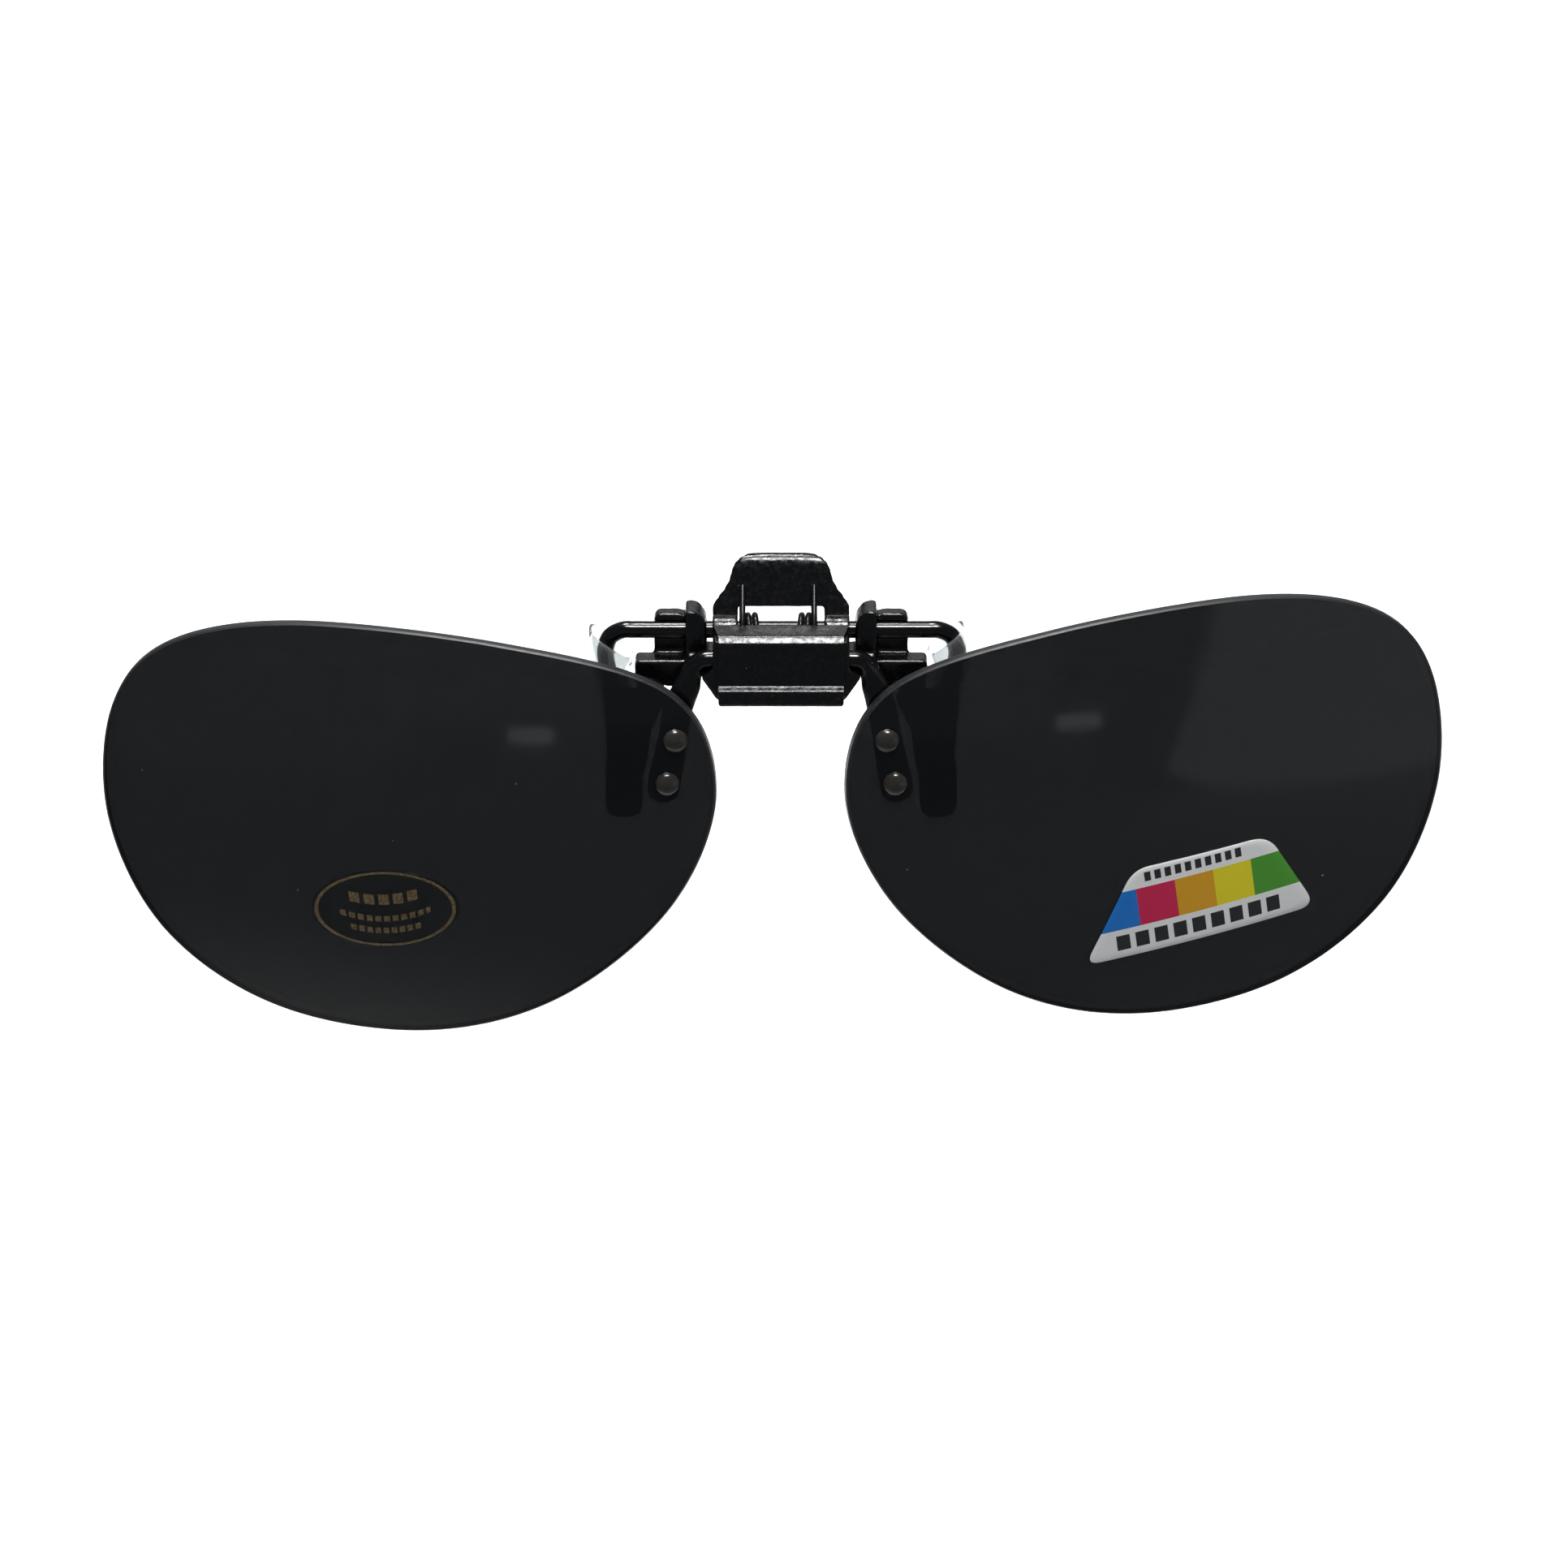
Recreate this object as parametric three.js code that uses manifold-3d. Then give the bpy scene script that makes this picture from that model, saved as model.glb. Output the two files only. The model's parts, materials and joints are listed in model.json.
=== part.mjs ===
// Clip-on flip lenses: a pair of tinted lenses on a wire that turns in a small hinge box,
// and a sprung clip behind the box that grips a pair of spectacles at the bridge.
//
// Millimetres, +Z up, -Y towards the front, +X to the right of someone looking at the front.
// Sizes below are measured from a datum in the middle of the hinge box: X = 0 on its centre
// plane and Y = 0 on the flip axis, which lies a little under Z = 0. The last lines move the
// whole model so that the grip point is the origin.

import * as THREE from 'three';
import { mergeVertices } from 'three/addons/utils/BufferGeometryUtils.js';
import Module from 'manifold-3d';

const wasm = await Module();
wasm.setup();

// ---------------------------------------------------------------- driving dimensions

// Grip point: midway between the front pads and the rear sleeves.
const GRIP_Y = 2.65;
const GRIP_Z = -11.5;

// Lenses. The outline is in lens coordinates: x outwards from the lens middle, z up.
const LENS_RADIUS = 120;
const LENS_THICKNESS = 1.0;
const LENS_CENTRE_X = 37.5;
const LENS_OUTLINE = [
  [30, 9.5], [25, 17.5], [12.5, 22.5], [-7, 24], [-23.5, 21.5], [-29.5, 12],
  [-27, -0.5], [-17.5, -12], [-5, -18], [10, -18.5], [22, -13], [29, -2.5],
];
// Each arm of the wire is bent by hand, so the two lenses stand a little differently:
// wrap turns the outer end back, roll raises it.
const LENS_POSES = {
  left: { side: -1, wrap: 7, roll: 8, height: -21.1 },
  right: { side: 1, wrap: 13.5, roll: 9, height: -20.4 },
};

// Rivets through each lens, given on the right-hand side.
const RIVET_UPPER = { x: 10.2, z: -7.85 };
const RIVET_LOWER = { x: 11.0, z: -12.2 };
const LENS_FRONT_AT_RIVET_Y = -2.4;
const RIVET_HEAD_RADIUS = 1.2;
const RIVET_HEAD_HEIGHT = 0.75;
const RIVET_STEM_RADIUS = 0.6;
const RIVET_TAIL_RADIUS = 1.0;
const RIVET_TAIL_HEIGHT = 0.45;
const RIVET_HOLE_RADIUS = 0.72;
const WASHER_RADIUS = 1.3;
const WASHER_THICKNESS = 0.25;
const LENS_BACK_CLEARANCE = 0.12;

// Lens wire, with its two flattened ends.
const FLIP_AXIS_Z = -0.35;
const LENS_WIRE_RADIUS = 0.9;
const WIRE_FLAT_HALF_HEIGHT = 0.8;
const WIRE_FLAT_HALF_LENGTH = 4.6;
const PLATE_THICKNESS = 0.9;
const PLATE_FRONT = LENS_THICKNESS + LENS_BACK_CLEARANCE + WASHER_THICKNESS + 0.05;
const PLATE_HALF_WIDTH_TOP = 1.4;
const PLATE_HALF_WIDTH_BOTTOM = 1.6;
const PLATE_ABOVE_UPPER_RIVET = 5.2;
const PLATE_BELOW_LOWER_RIVET = 2.6;

// Hinge box.
const COVER_HALF_WIDTH = 6.05;
const BODY_FRONT_Y = -1.25;
const BODY_BACK_Y = 1.3;
const WIRE_BORE_RADIUS = 0.99;
const SPRING_LEAF = { halfWidth: 4.4, halfHeight: 1.9, thickness: 0.12, bow: 0.25 };

// Clip base: ears, shelves and blocks.
const EAR_INNER_X = 7.15;
const EAR_OUTER_X = 9.25;
const EAR_TOP_Z = 3.9;
const SHELF_OUTER_X = 14.1;
const SHELF_TOP_Z = -1.05;
const BLOCK_OUTER_X = 12.25;
const BLOCK_TOP_Z = 3.0;

// Jaw wire: the lever's axle, whose bent ends are the rear jaws.
const AXLE_Y = 3.0;
const AXLE_Z = 1.4;
const JAW_WIRE_RADIUS = 0.83;
const AXLE_BORE_RADIUS = 0.92;
const JAW_CORNER_X = 16.95;
const REAR_JAW_Y = 3.65;
const REAR_JAW_THICKNESS = 1.0;

// Jaw covers.
const PAD_FRONT_Y = 1.0;
const PAD_BACK_Y = 2.6;
const SLEEVE_FRONT_Y = 2.7;
const SLEEVE_BACK_Y = 4.6;
const JAW_TONGUE_FRONT_Y = 1.45;
const JAW_TONGUE_BACK_Y = 2.15;

// Thumb lever.
const LEVER_LEAN = 22;
const LEVER_SHEET = 0.6;
const LEVER_KNUCKLE_RADIUS = 1.46;
const LEVER_BORE_RADIUS = 0.88;
const LEVER_NOTCH_HALF_WIDTH = 4.15;

// Torsion spring on the axle.
const SPRING_WIRE_RADIUS = 0.3;
const SPRING_COIL_RADIUS = 1.4;
const SPRING_TURNS = 2;
const SPRING_PITCH = 0.68;
const SPRING_LEG_X = -3.45;
const SPRING_SHIFT_X = -0.27;

// Labels: thin films on the lens fronts.
const LABEL_GAP = 0.05;
const LABEL_THICKNESS = 0.12;

const GAP = 0.05;
const SMALL_SIDES = 16;

// ---------------------------------------------------------------- materials

const finish = (color, roughness, metalness) => ({ color, roughness, metalness });
const FINISHES = {
  blackPaint: finish(0x141416, 0.35, 0.4),
  blackVinyl: finish(0x0d0d0e, 0.6, 0),
  clearVinyl: finish(0xdfe3e4, 0.25, 0),
  springSteel: finish(0x2a2a2c, 0.3, 0.9),
  lensGrey: finish(0x1b1d21, 0.05, 0),
  smokyNylon: finish(0x4b4841, 0.3, 0),
  clearFilm: finish(0x2a2418, 0.3, 0),
  printedFilm: finish(0xe9e9e6, 0.35, 0),
};

// ---------------------------------------------------------------- geometry helpers

// Shapes drawn in (x, z), extruded along Y from front to back.
function plateXZ(shape, front, back, curveSegments = 6) {
  const depth = back - front;
  const geometry = new THREE.ExtrudeGeometry(shape, { depth, bevelEnabled: false, curveSegments });
  return geometry.rotateX(Math.PI / 2).translate(0, back, 0);
}

// Profiles drawn in (y, z), extruded along X from low to high.
function barYZ(shape, low, high, curveSegments = 6) {
  const depth = high - low;
  const geometry = new THREE.ExtrudeGeometry(shape, { depth, bevelEnabled: false, curveSegments });
  const toSideView = new THREE.Matrix4().makeBasis(
    new THREE.Vector3(0, 1, 0), new THREE.Vector3(0, 0, 1), new THREE.Vector3(1, 0, 0));
  return geometry.applyMatrix4(toSideView).translate(low, 0, 0);
}

function box(x0, x1, y0, y1, z0, z1) {
  const geometry = new THREE.BoxGeometry(x1 - x0, y1 - y0, z1 - z0);
  return geometry.translate((x0 + x1) / 2, (y0 + y1) / 2, (z0 + z1) / 2);
}

function rodX(radius, x0, x1, y, z, sides = SMALL_SIDES) {
  const geometry = new THREE.CylinderGeometry(radius, radius, x1 - x0, sides);
  return geometry.rotateZ(Math.PI / 2).translate((x0 + x1) / 2, y, z);
}

// A polygon whose corners are rounded: each corner is [x, y, radius]. A rounding never takes
// more than 45% of the edge on either side of it.
function roundedShape(corners) {
  const shape = new THREE.Shape();
  corners.forEach(([x, y, radius], i) => {
    const [px, py] = corners[(i + corners.length - 1) % corners.length];
    const [nx, ny] = corners[(i + 1) % corners.length];
    const before = new THREE.Vector2(px - x, py - y);
    const after = new THREE.Vector2(nx - x, ny - y);
    const reach = Math.min(radius, 0.45 * before.length(), 0.45 * after.length());
    before.setLength(reach);
    after.setLength(reach);
    const draw = i === 0 ? 'moveTo' : 'lineTo';
    shape[draw](x + before.x, y + before.y);
    if (reach > 0) shape.quadraticCurveTo(x, y, x + after.x, y + after.y);
  });
  return shape;
}

const mirrorPoints = (corners, side) => corners.map(([x, ...rest]) => [side * x, ...rest]);

// A smooth route through points, with the same number of steps between each two of them,
// so that a long straight stretch takes no more steps than a short bend.
class Route extends THREE.CatmullRomCurve3 {
  constructor(points) {
    super(points.map(([x, y, z]) => new THREE.Vector3(x, y, z)));
  }

  getPointAt(u, target) {
    return this.getPoint(u, target);
  }

  getTangentAt(u, target) {
    return this.getTangent(u, target);
  }
}

// A wire of round section along a route.
function wire(route, radius, stepsPerSpan, sides) {
  const corners = Array.from({ length: sides }, (_, i) => {
    const angle = 2 * Math.PI * i / sides;
    return new THREE.Vector2(radius * Math.cos(angle), radius * Math.sin(angle));
  });
  const steps = stepsPerSpan * (route.points.length - 1);
  const section = new THREE.Shape(corners);
  return new THREE.ExtrudeGeometry(section, { extrudePath: route, steps, bevelEnabled: false });
}

// ---------------------------------------------------------------- solids

function signedVolume(position, index) {
  let sum = 0;
  const [a, b, c] = [new THREE.Vector3(), new THREE.Vector3(), new THREE.Vector3()];
  for (let i = 0; i < index.count; i += 3) {
    a.fromBufferAttribute(position, index.getX(i));
    b.fromBufferAttribute(position, index.getX(i + 1));
    c.fromBufferAttribute(position, index.getX(i + 2));
    sum += a.dot(b.cross(c));
  }
  return sum / 6;
}

// A closed geometry as a solid, with its faces turned outwards.
function solid(geometry) {
  const bare = geometry.clone();
  bare.deleteAttribute('normal');
  bare.deleteAttribute('uv');
  const merged = mergeVertices(bare, 1e-4);
  const triVerts = new Uint32Array(merged.index.array);
  if (signedVolume(merged.attributes.position, merged.index) < 0) triVerts.reverse();
  const vertProperties = new Float32Array(merged.attributes.position.array);
  return new wasm.Manifold(new wasm.Mesh({ numProp: 3, vertProperties, triVerts }));
}

function geometryOf(manifold) {
  const mesh = manifold.getMesh();
  const geometry = new THREE.BufferGeometry();
  geometry.setAttribute('position', new THREE.BufferAttribute(mesh.vertProperties, 3));
  geometry.setIndex(new THREE.BufferAttribute(mesh.triVerts, 1));
  geometry.computeVertexNormals();
  return geometry;
}

const join = (...geometries) => geometries.map(solid).reduce((a, b) => a.add(b));
const cut = (base, ...tools) => tools.map(solid).reduce((a, b) => a.subtract(b), base);

// ---------------------------------------------------------------- the lens frames

// Places the front vertex of a lens, so that the lens front passes through the upper rivet
// at its stated depth.
function lensFrame({ side, wrap, roll, height }) {
  const turn = new THREE.Matrix4().makeRotationY(THREE.MathUtils.degToRad(-side * roll))
    .multiply(new THREE.Matrix4().makeRotationZ(THREE.MathUtils.degToRad(side * wrap)));
  const vertex = new THREE.Vector3(side * LENS_CENTRE_X, 0, height);
  const centre = new THREE.Vector3(0, LENS_RADIUS, 0).applyMatrix4(turn).add(vertex);
  const shift = LENS_FRONT_AT_RIVET_Y - sphereFrontY(centre, side * RIVET_UPPER.x, RIVET_UPPER.z);
  vertex.y += shift;
  centre.y += shift;
  return { side, centre, matrix: turn.clone().setPosition(vertex) };
}

function sphereFrontY(centre, x, z) {
  return centre.y - Math.sqrt(LENS_RADIUS ** 2 - (x - centre.x) ** 2 - (z - centre.z) ** 2);
}

// Frame of one rivet: origin on the lens front, local -Y out of the lens, local Z along the
// line from the lower rivet to the upper one.
function rivetFrame(frame, place) {
  const { side, centre } = frame;
  const onFront = ({ x, z }) => new THREE.Vector3(side * x, sphereFrontY(centre, side * x, z), z);
  const upper = onFront(RIVET_UPPER);
  const lower = onFront(RIVET_LOWER);
  const backwards = upper.clone().add(lower).multiplyScalar(0.5).sub(centre).normalize().negate();
  const up = upper.clone().sub(lower).normalize();
  const across = new THREE.Vector3().crossVectors(backwards, up).normalize();
  up.crossVectors(across, backwards);
  const matrix = new THREE.Matrix4().makeBasis(across, backwards, up);
  return matrix.setPosition({ upper, lower }[place]);
}

// ---------------------------------------------------------------- lens body pieces

function lensShell(frontRadius, backRadius, reach, rings, sides) {
  const profile = [];
  for (let i = 0; i <= rings; i++) profile.push([reach * i / rings, frontRadius]);
  for (let i = rings; i >= 0; i--) profile.push([reach * i / rings, backRadius]);
  const points = profile.map(([r, sphere]) => (
    new THREE.Vector2(r, LENS_RADIUS - Math.sqrt(sphere ** 2 - r ** 2))));
  return new THREE.LatheGeometry(points, sides);
}

function lens(frame) {
  const outline = new THREE.CatmullRomCurve3(
    LENS_OUTLINE.map(([x, z]) => new THREE.Vector3(frame.side * x, z, 0)), true, 'catmullrom', 0.5);
  const shape = new THREE.Shape(outline.getPoints(60).slice(0, -1).map((p) => new THREE.Vector2(p.x, p.y)));
  const shell = lensShell(LENS_RADIUS, LENS_RADIUS - LENS_THICKNESS, 35, 6, 36);
  const blank = solid(shell).intersect(solid(plateXZ(shape, -2, 8)));
  const placed = geometryOf(blank).applyMatrix4(frame.matrix);
  return cut(solid(placed), ...['upper', 'lower'].map((place) => rivetHole(frame, place)));
}

function rivetHole(frame, place) {
  const hole = new THREE.CylinderGeometry(RIVET_HOLE_RADIUS, RIVET_HOLE_RADIUS, 8, SMALL_SIDES);
  return hole.applyMatrix4(rivetFrame(frame, place));
}

// Dome head in front of the lens, stem through lens, washer and plate, and an upset tail.
function rivet(frame, place) {
  const headBack = -GAP;
  const tailFront = PLATE_FRONT + PLATE_THICKNESS + GAP;
  const tailBack = tailFront + RIVET_TAIL_HEIGHT;
  const profile = [
    [0, headBack - RIVET_HEAD_HEIGHT],
    [0.5 * RIVET_HEAD_RADIUS, headBack - 0.88 * RIVET_HEAD_HEIGHT],
    [0.86 * RIVET_HEAD_RADIUS, headBack - 0.5 * RIVET_HEAD_HEIGHT],
    [RIVET_HEAD_RADIUS, headBack],
    [RIVET_STEM_RADIUS, headBack],
    [RIVET_STEM_RADIUS, tailFront],
    [RIVET_TAIL_RADIUS, tailFront],
    [0.8 * RIVET_TAIL_RADIUS, tailBack],
    [0, tailBack],
  ];
  const turned = new THREE.LatheGeometry(profile.map(([r, y]) => new THREE.Vector2(r, y)), SMALL_SIDES);
  return solid(turned.applyMatrix4(rivetFrame(frame, place)));
}

function washer(frame, place) {
  const front = LENS_THICKNESS + LENS_BACK_CLEARANCE;
  const ring = new THREE.Shape().absarc(0, 0, WASHER_RADIUS, 0, 2 * Math.PI);
  const disc = plateXZ(ring, front, front + WASHER_THICKNESS);
  const bore = new THREE.CylinderGeometry(RIVET_HOLE_RADIUS, RIVET_HOLE_RADIUS, 8, SMALL_SIDES);
  const matrix = rivetFrame(frame, place);
  return cut(solid(disc.applyMatrix4(matrix)), bore.applyMatrix4(matrix));
}

// The flattened end of the wire, in the lower rivet's frame.
function wirePlate(frame) {
  const span = Math.hypot(RIVET_UPPER.x - RIVET_LOWER.x, RIVET_UPPER.z - RIVET_LOWER.z);
  const top = span + PLATE_ABOVE_UPPER_RIVET;
  const bottom = -PLATE_BELOW_LOWER_RIVET;
  const shape = roundedShape([
    [-PLATE_HALF_WIDTH_TOP, top, 1.2],
    [-PLATE_HALF_WIDTH_BOTTOM, 0, 0.5],
    [-PLATE_HALF_WIDTH_BOTTOM, bottom, 1.5],
    [PLATE_HALF_WIDTH_BOTTOM, bottom, 1.5],
    [PLATE_HALF_WIDTH_BOTTOM, 0, 0.5],
    [PLATE_HALF_WIDTH_TOP, top, 1.2],
  ]);
  return plateXZ(shape, PLATE_FRONT, PLATE_FRONT + PLATE_THICKNESS).applyMatrix4(rivetFrame(frame, 'lower'));
}

// Where the round part of the wire runs into the back of the flattened end.
function plateTop(frame) {
  const depth = PLATE_FRONT + 0.8 * LENS_WIRE_RADIUS;
  const above = PLATE_ABOVE_UPPER_RIVET - 1.2;
  const end = new THREE.Vector3(0, depth, above).applyMatrix4(rivetFrame(frame, 'upper'));
  return end.toArray();
}

function lensWire(frames) {
  const arm = (frame) => [
    [6.8, 0, FLIP_AXIS_Z], [7.5, 0, FLIP_AXIS_Z - 0.06], [8.2, 0.02, FLIP_AXIS_Z - 0.55],
    [8.65, 0.06, FLIP_AXIS_Z - 1.4],
  ].map(([x, y, z]) => [frame.side * x, y, z]).concat([plateTop(frame)]);
  const [left, right] = frames.map(arm);
  const straight = [[-6, 0, FLIP_AXIS_Z], [6, 0, FLIP_AXIS_Z]];
  const run = wire(new Route([...left.reverse(), ...straight, ...right]), LENS_WIRE_RADIUS, 3, 12);
  const flats = [[0, 1], [0, -1], [1, 0], [-1, 0]].map(([y, z]) => {
    const middle = WIRE_FLAT_HALF_HEIGHT + 0.5;
    return box(-WIRE_FLAT_HALF_LENGTH, WIRE_FLAT_HALF_LENGTH, -1, 1, -0.5, 0.5)
      .rotateX(Math.atan2(-y, z)).translate(0, y * middle, FLIP_AXIS_Z + z * middle);
  });
  const holes = frames.flatMap((frame) => ['upper', 'lower'].map((place) => rivetHole(frame, place)));
  return cut(join(run, ...frames.map(wirePlate)), ...flats, ...holes);
}

// A thin film on a lens front, cut to a shape drawn in lens coordinates.
function label(frame, shape) {
  const inner = LENS_RADIUS + LABEL_GAP;
  const shell = lensShell(inner + LABEL_THICKNESS, inner, 22, 6, 40);
  const film = solid(shell).intersect(solid(plateXZ(shape, -2, 6)));
  return solid(geometryOf(film).applyMatrix4(frame.matrix));
}

function ovalShape(side) {
  return new THREE.Shape().absellipse(side * 0.45, -4.75, 7.4, 4.25, 0, 2 * Math.PI, false, side * -0.235);
}

function bandShape(side) {
  return roundedShape(mirrorPoints([
    [-3.6, -1.5, 1.6], [-9.6, -10.6, 1.6], [14.4, -10.6, 1.6], [10.4, -1.9, 1.6],
  ], side));
}

// ---------------------------------------------------------------- hinge box and clip base

// A folded sheet: top flange, chamfer, front, and a heavier lip along the bottom.
function hingeCover() {
  const profile = roundedShape([
    [1.2, 2.7, 0], [-1.35, 2.7, 0.2], [-2.0, 2.1, 0.2], [-2.0, -2.35, 0], [-2.3, -2.45, 0.1],
    [-2.6, -2.7, 0.2], [-2.6, -4.15, 0.3], [-2.2, -4.35, 0.2], [-1.35, -4.35, 0],
    [-1.35, 2.0, 0], [-1.3, 2.1, 0], [1.2, 2.1, 0],
  ]);
  return solid(barYZ(profile, -COVER_HALF_WIDTH, COVER_HALF_WIDTH, 3));
}

function bodyOutline() {
  const right = [[6.55, 2.05, 0.4], [6.55, -1.1, 0], [7.45, -1.55, 0.2], [6.1, -4.3, 0.4]];
  return roundedShape([...right, ...mirrorPoints(right, -1).reverse()]);
}

function baseBracket() {
  const base = [
    plateXZ(bodyOutline(), BODY_FRONT_Y, BODY_BACK_Y),
    box(-EAR_OUTER_X, EAR_OUTER_X, 1.15, 4.6, -2.6, -0.5),
  ];
  const pocket = { x: SPRING_LEAF.halfWidth + 0.1, y: -0.7, z: SPRING_LEAF.halfHeight + 0.1 };
  const tools = [
    rodX(WIRE_BORE_RADIUS, -10, 10, 0, FLIP_AXIS_Z),
    rodX(AXLE_BORE_RADIUS, -20, 20, AXLE_Y, AXLE_Z),
    box(-pocket.x, pocket.x, -2, pocket.y, FLIP_AXIS_Z - pocket.z, FLIP_AXIS_Z + pocket.z),
  ];
  for (const side of [-1, 1]) {
    const span = (near, far) => [Math.min(side * near, side * far), Math.max(side * near, side * far)];
    const ear = roundedShape([
      [1.5, -2.6, 0], [4.6, -2.6, 0.4], [4.5, EAR_TOP_Z, 0.3], [1.5, EAR_TOP_Z, 0.5]]);
    const earTaper = new THREE.Shape(mirrorPoints(
      [[6.9, 2.6], [8.0, 4.4], [6.9, 4.4]], side).map(([x, z]) => new THREE.Vector2(x, z)));
    const shelf = roundedShape([
      [1.1, -3.0, 0.2], [3.3, -3.0, 0.2], [3.3, SHELF_TOP_Z, 0], [1.1, SHELF_TOP_Z, 0.25]]);
    const block = roundedShape([
      [3.1, -2.6, 0], [4.6, -2.6, 0.3], [4.6, BLOCK_TOP_Z, 0.6], [3.1, BLOCK_TOP_Z, 0.3]]);
    base.push(
      barYZ(ear, ...span(EAR_INNER_X, EAR_OUTER_X)),
      barYZ(shelf, ...span(EAR_OUTER_X - 0.5, SHELF_OUTER_X)),
      barYZ(block, ...span(EAR_OUTER_X - 0.5, BLOCK_OUTER_X)),
    );
    tools.push(plateXZ(earTaper, 1, 5));
    tools.push(box(...span(10.85, 14.05), JAW_TONGUE_FRONT_Y - GAP, JAW_TONGUE_BACK_Y + GAP, -4, -2));
  }
  return cut(join(...base), ...tools);
}

function detentSpring() {
  const { halfWidth, halfHeight, thickness, bow } = SPRING_LEAF;
  const front = [[0, halfHeight], [bow, 0.4 * halfHeight], [bow, -0.4 * halfHeight], [0, -halfHeight]];
  const back = front.map(([y, z]) => [y + thickness, z]).reverse();
  const corners = [...front, ...back].map(([y, z]) => [BODY_FRONT_Y - 0.02 + y, z + FLIP_AXIS_Z, 0]);
  const leaf = roundedShape(corners);
  return solid(barYZ(leaf, -halfWidth, halfWidth));
}

// A flat metal tongue whose tab sits in a slot under the shelf.
function frontJaw(side) {
  const outline = roundedShape(mirrorPoints([
    [10.95, -2.1, 0.1], [13.95, -2.1, 0.1], [13.95, -4.9, 0.4], [16.2, -6.6, 0.6],
    [16.3, -16.6, 1.2], [13.9, -16.6, 1.2], [13.6, -8.2, 0.6], [11.6, -5.6, 0.5],
  ], side));
  return solid(plateXZ(outline, JAW_TONGUE_FRONT_Y, JAW_TONGUE_BACK_Y, 3));
}

// A soft boot over the front tongue, open at the top.
function frontPad(side) {
  const outline = roundedShape(mirrorPoints([
    [11.0, -4.6, 0.3], [11.7, -6.4, 0.6], [12.6, -8.4, 0.8], [12.75, -11.4, 0.8], [13.5, -13.8, 0.6],
    [13.5, -18.2, 1.6], [17.15, -18.2, 1.6], [17.15, -13.4, 0.6], [16.75, -11.4, 0.8], [17.3, -4.6, 0.3],
  ], side));
  const pocket = roundedShape(mirrorPoints([
    [11.4, -4, 0], [11.4, -5.6, 0.5], [13.45, -8.2, 0.6], [13.75, -16.75, 1.2],
    [16.45, -16.75, 1.2], [16.35, -6.4, 0.6], [15.2, -5.3, 0.4], [15.2, -4, 0],
  ], side));
  const front = JAW_TONGUE_FRONT_Y - GAP;
  const back = JAW_TONGUE_BACK_Y + GAP;
  return cut(solid(plateXZ(outline, PAD_FRONT_Y, PAD_BACK_Y, 4)), plateXZ(pocket, front, back, 3));
}

// ---------------------------------------------------------------- lever body pieces

// Half of the jaw wire, from inside the block out and down into the rear jaw.
const jawRoute = (side) => [
  [side * 14.4, AXLE_Y, AXLE_Z],
  [side * 15.4, AXLE_Y, AXLE_Z - 0.02],
  [side * (JAW_CORNER_X - 0.5), AXLE_Y + 0.02, AXLE_Z - 0.62],
  [side * JAW_CORNER_X, AXLE_Y + 0.12, AXLE_Z - 2.1],
  [side * 16.65, AXLE_Y + 0.4, AXLE_Z - 4.6],
  [side * 15.9, REAR_JAW_Y, -6.2],
  [side * 15.5, REAR_JAW_Y, -8.4],
];

// The flattened end of the jaw wire, or the pocket that it sits in when it is grown.
function rearTongue(side, grow = 0) {
  return roundedShape(mirrorPoints([
    [15.3 - grow, -6.2 + grow, 0.5], [16.55 + grow, -6.2 + grow, 0.5], [16.5 + grow, -16.8 - grow, 1.2],
    [13.95 - grow, -16.8 - grow, 1.2], [14.0 - grow, -9.2, 0.8],
  ], side));
}

function jawWire() {
  const front = REAR_JAW_Y - REAR_JAW_THICKNESS / 2;
  const run = wire(new Route([...jawRoute(-1).reverse(), ...jawRoute(1)]), JAW_WIRE_RADIUS, 3, 10);
  const tongues = [-1, 1].map((side) => plateXZ(rearTongue(side), front, front + REAR_JAW_THICKNESS, 3));
  return join(run, ...tongues);
}

// A clear boot over the rear jaw, with a flared mouth cut square to the bend of the wire.
function rearSleeve(side) {
  const body = roundedShape(mirrorPoints([
    [17.75, -1.2, 0.3], [17.35, -7.0, 0.8], [17.2, -18.1, 1.6], [13.4, -18.1, 1.6], [13.5, -8.0, 0.8],
    [14.5, -4.9, 0.8], [14.5, -2.8, 0.3],
  ], side));
  const mouth = roundedShape(mirrorPoints([
    [17.85, 1.1, 0], [17.65, -3.6, 0.3], [14.75, -3.9, 0.3], [14.45, -2.2, 0],
  ], side));
  const funnel = roundedShape([
    [1.85, 1.4, 0], [4.7, 1.4, 0], [SLEEVE_BACK_Y, -4.2, 0], [SLEEVE_FRONT_Y, -4.2, 0],
    [SLEEVE_FRONT_Y, -3.2, 0], [2.1, -2.2, 0],
  ]);
  const mouthSolid = solid(plateXZ(mouth, 1.5, 5)).intersect(solid(barYZ(funnel, -20, 20)));
  const outer = solid(plateXZ(body, SLEEVE_FRONT_Y, SLEEVE_BACK_Y, 4)).add(mouthSolid);
  const pocketFront = REAR_JAW_Y - REAR_JAW_THICKNESS / 2 - GAP;
  const pocketBack = pocketFront + REAR_JAW_THICKNESS + 2 * GAP;
  const pocket = plateXZ(rearTongue(side, 2 * GAP), pocketFront, pocketBack, 3);
  return cut(outer, wire(new Route(jawRoute(side)), JAW_WIRE_RADIUS + 1.6 * GAP, 2, 10), pocket);
}

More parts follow.
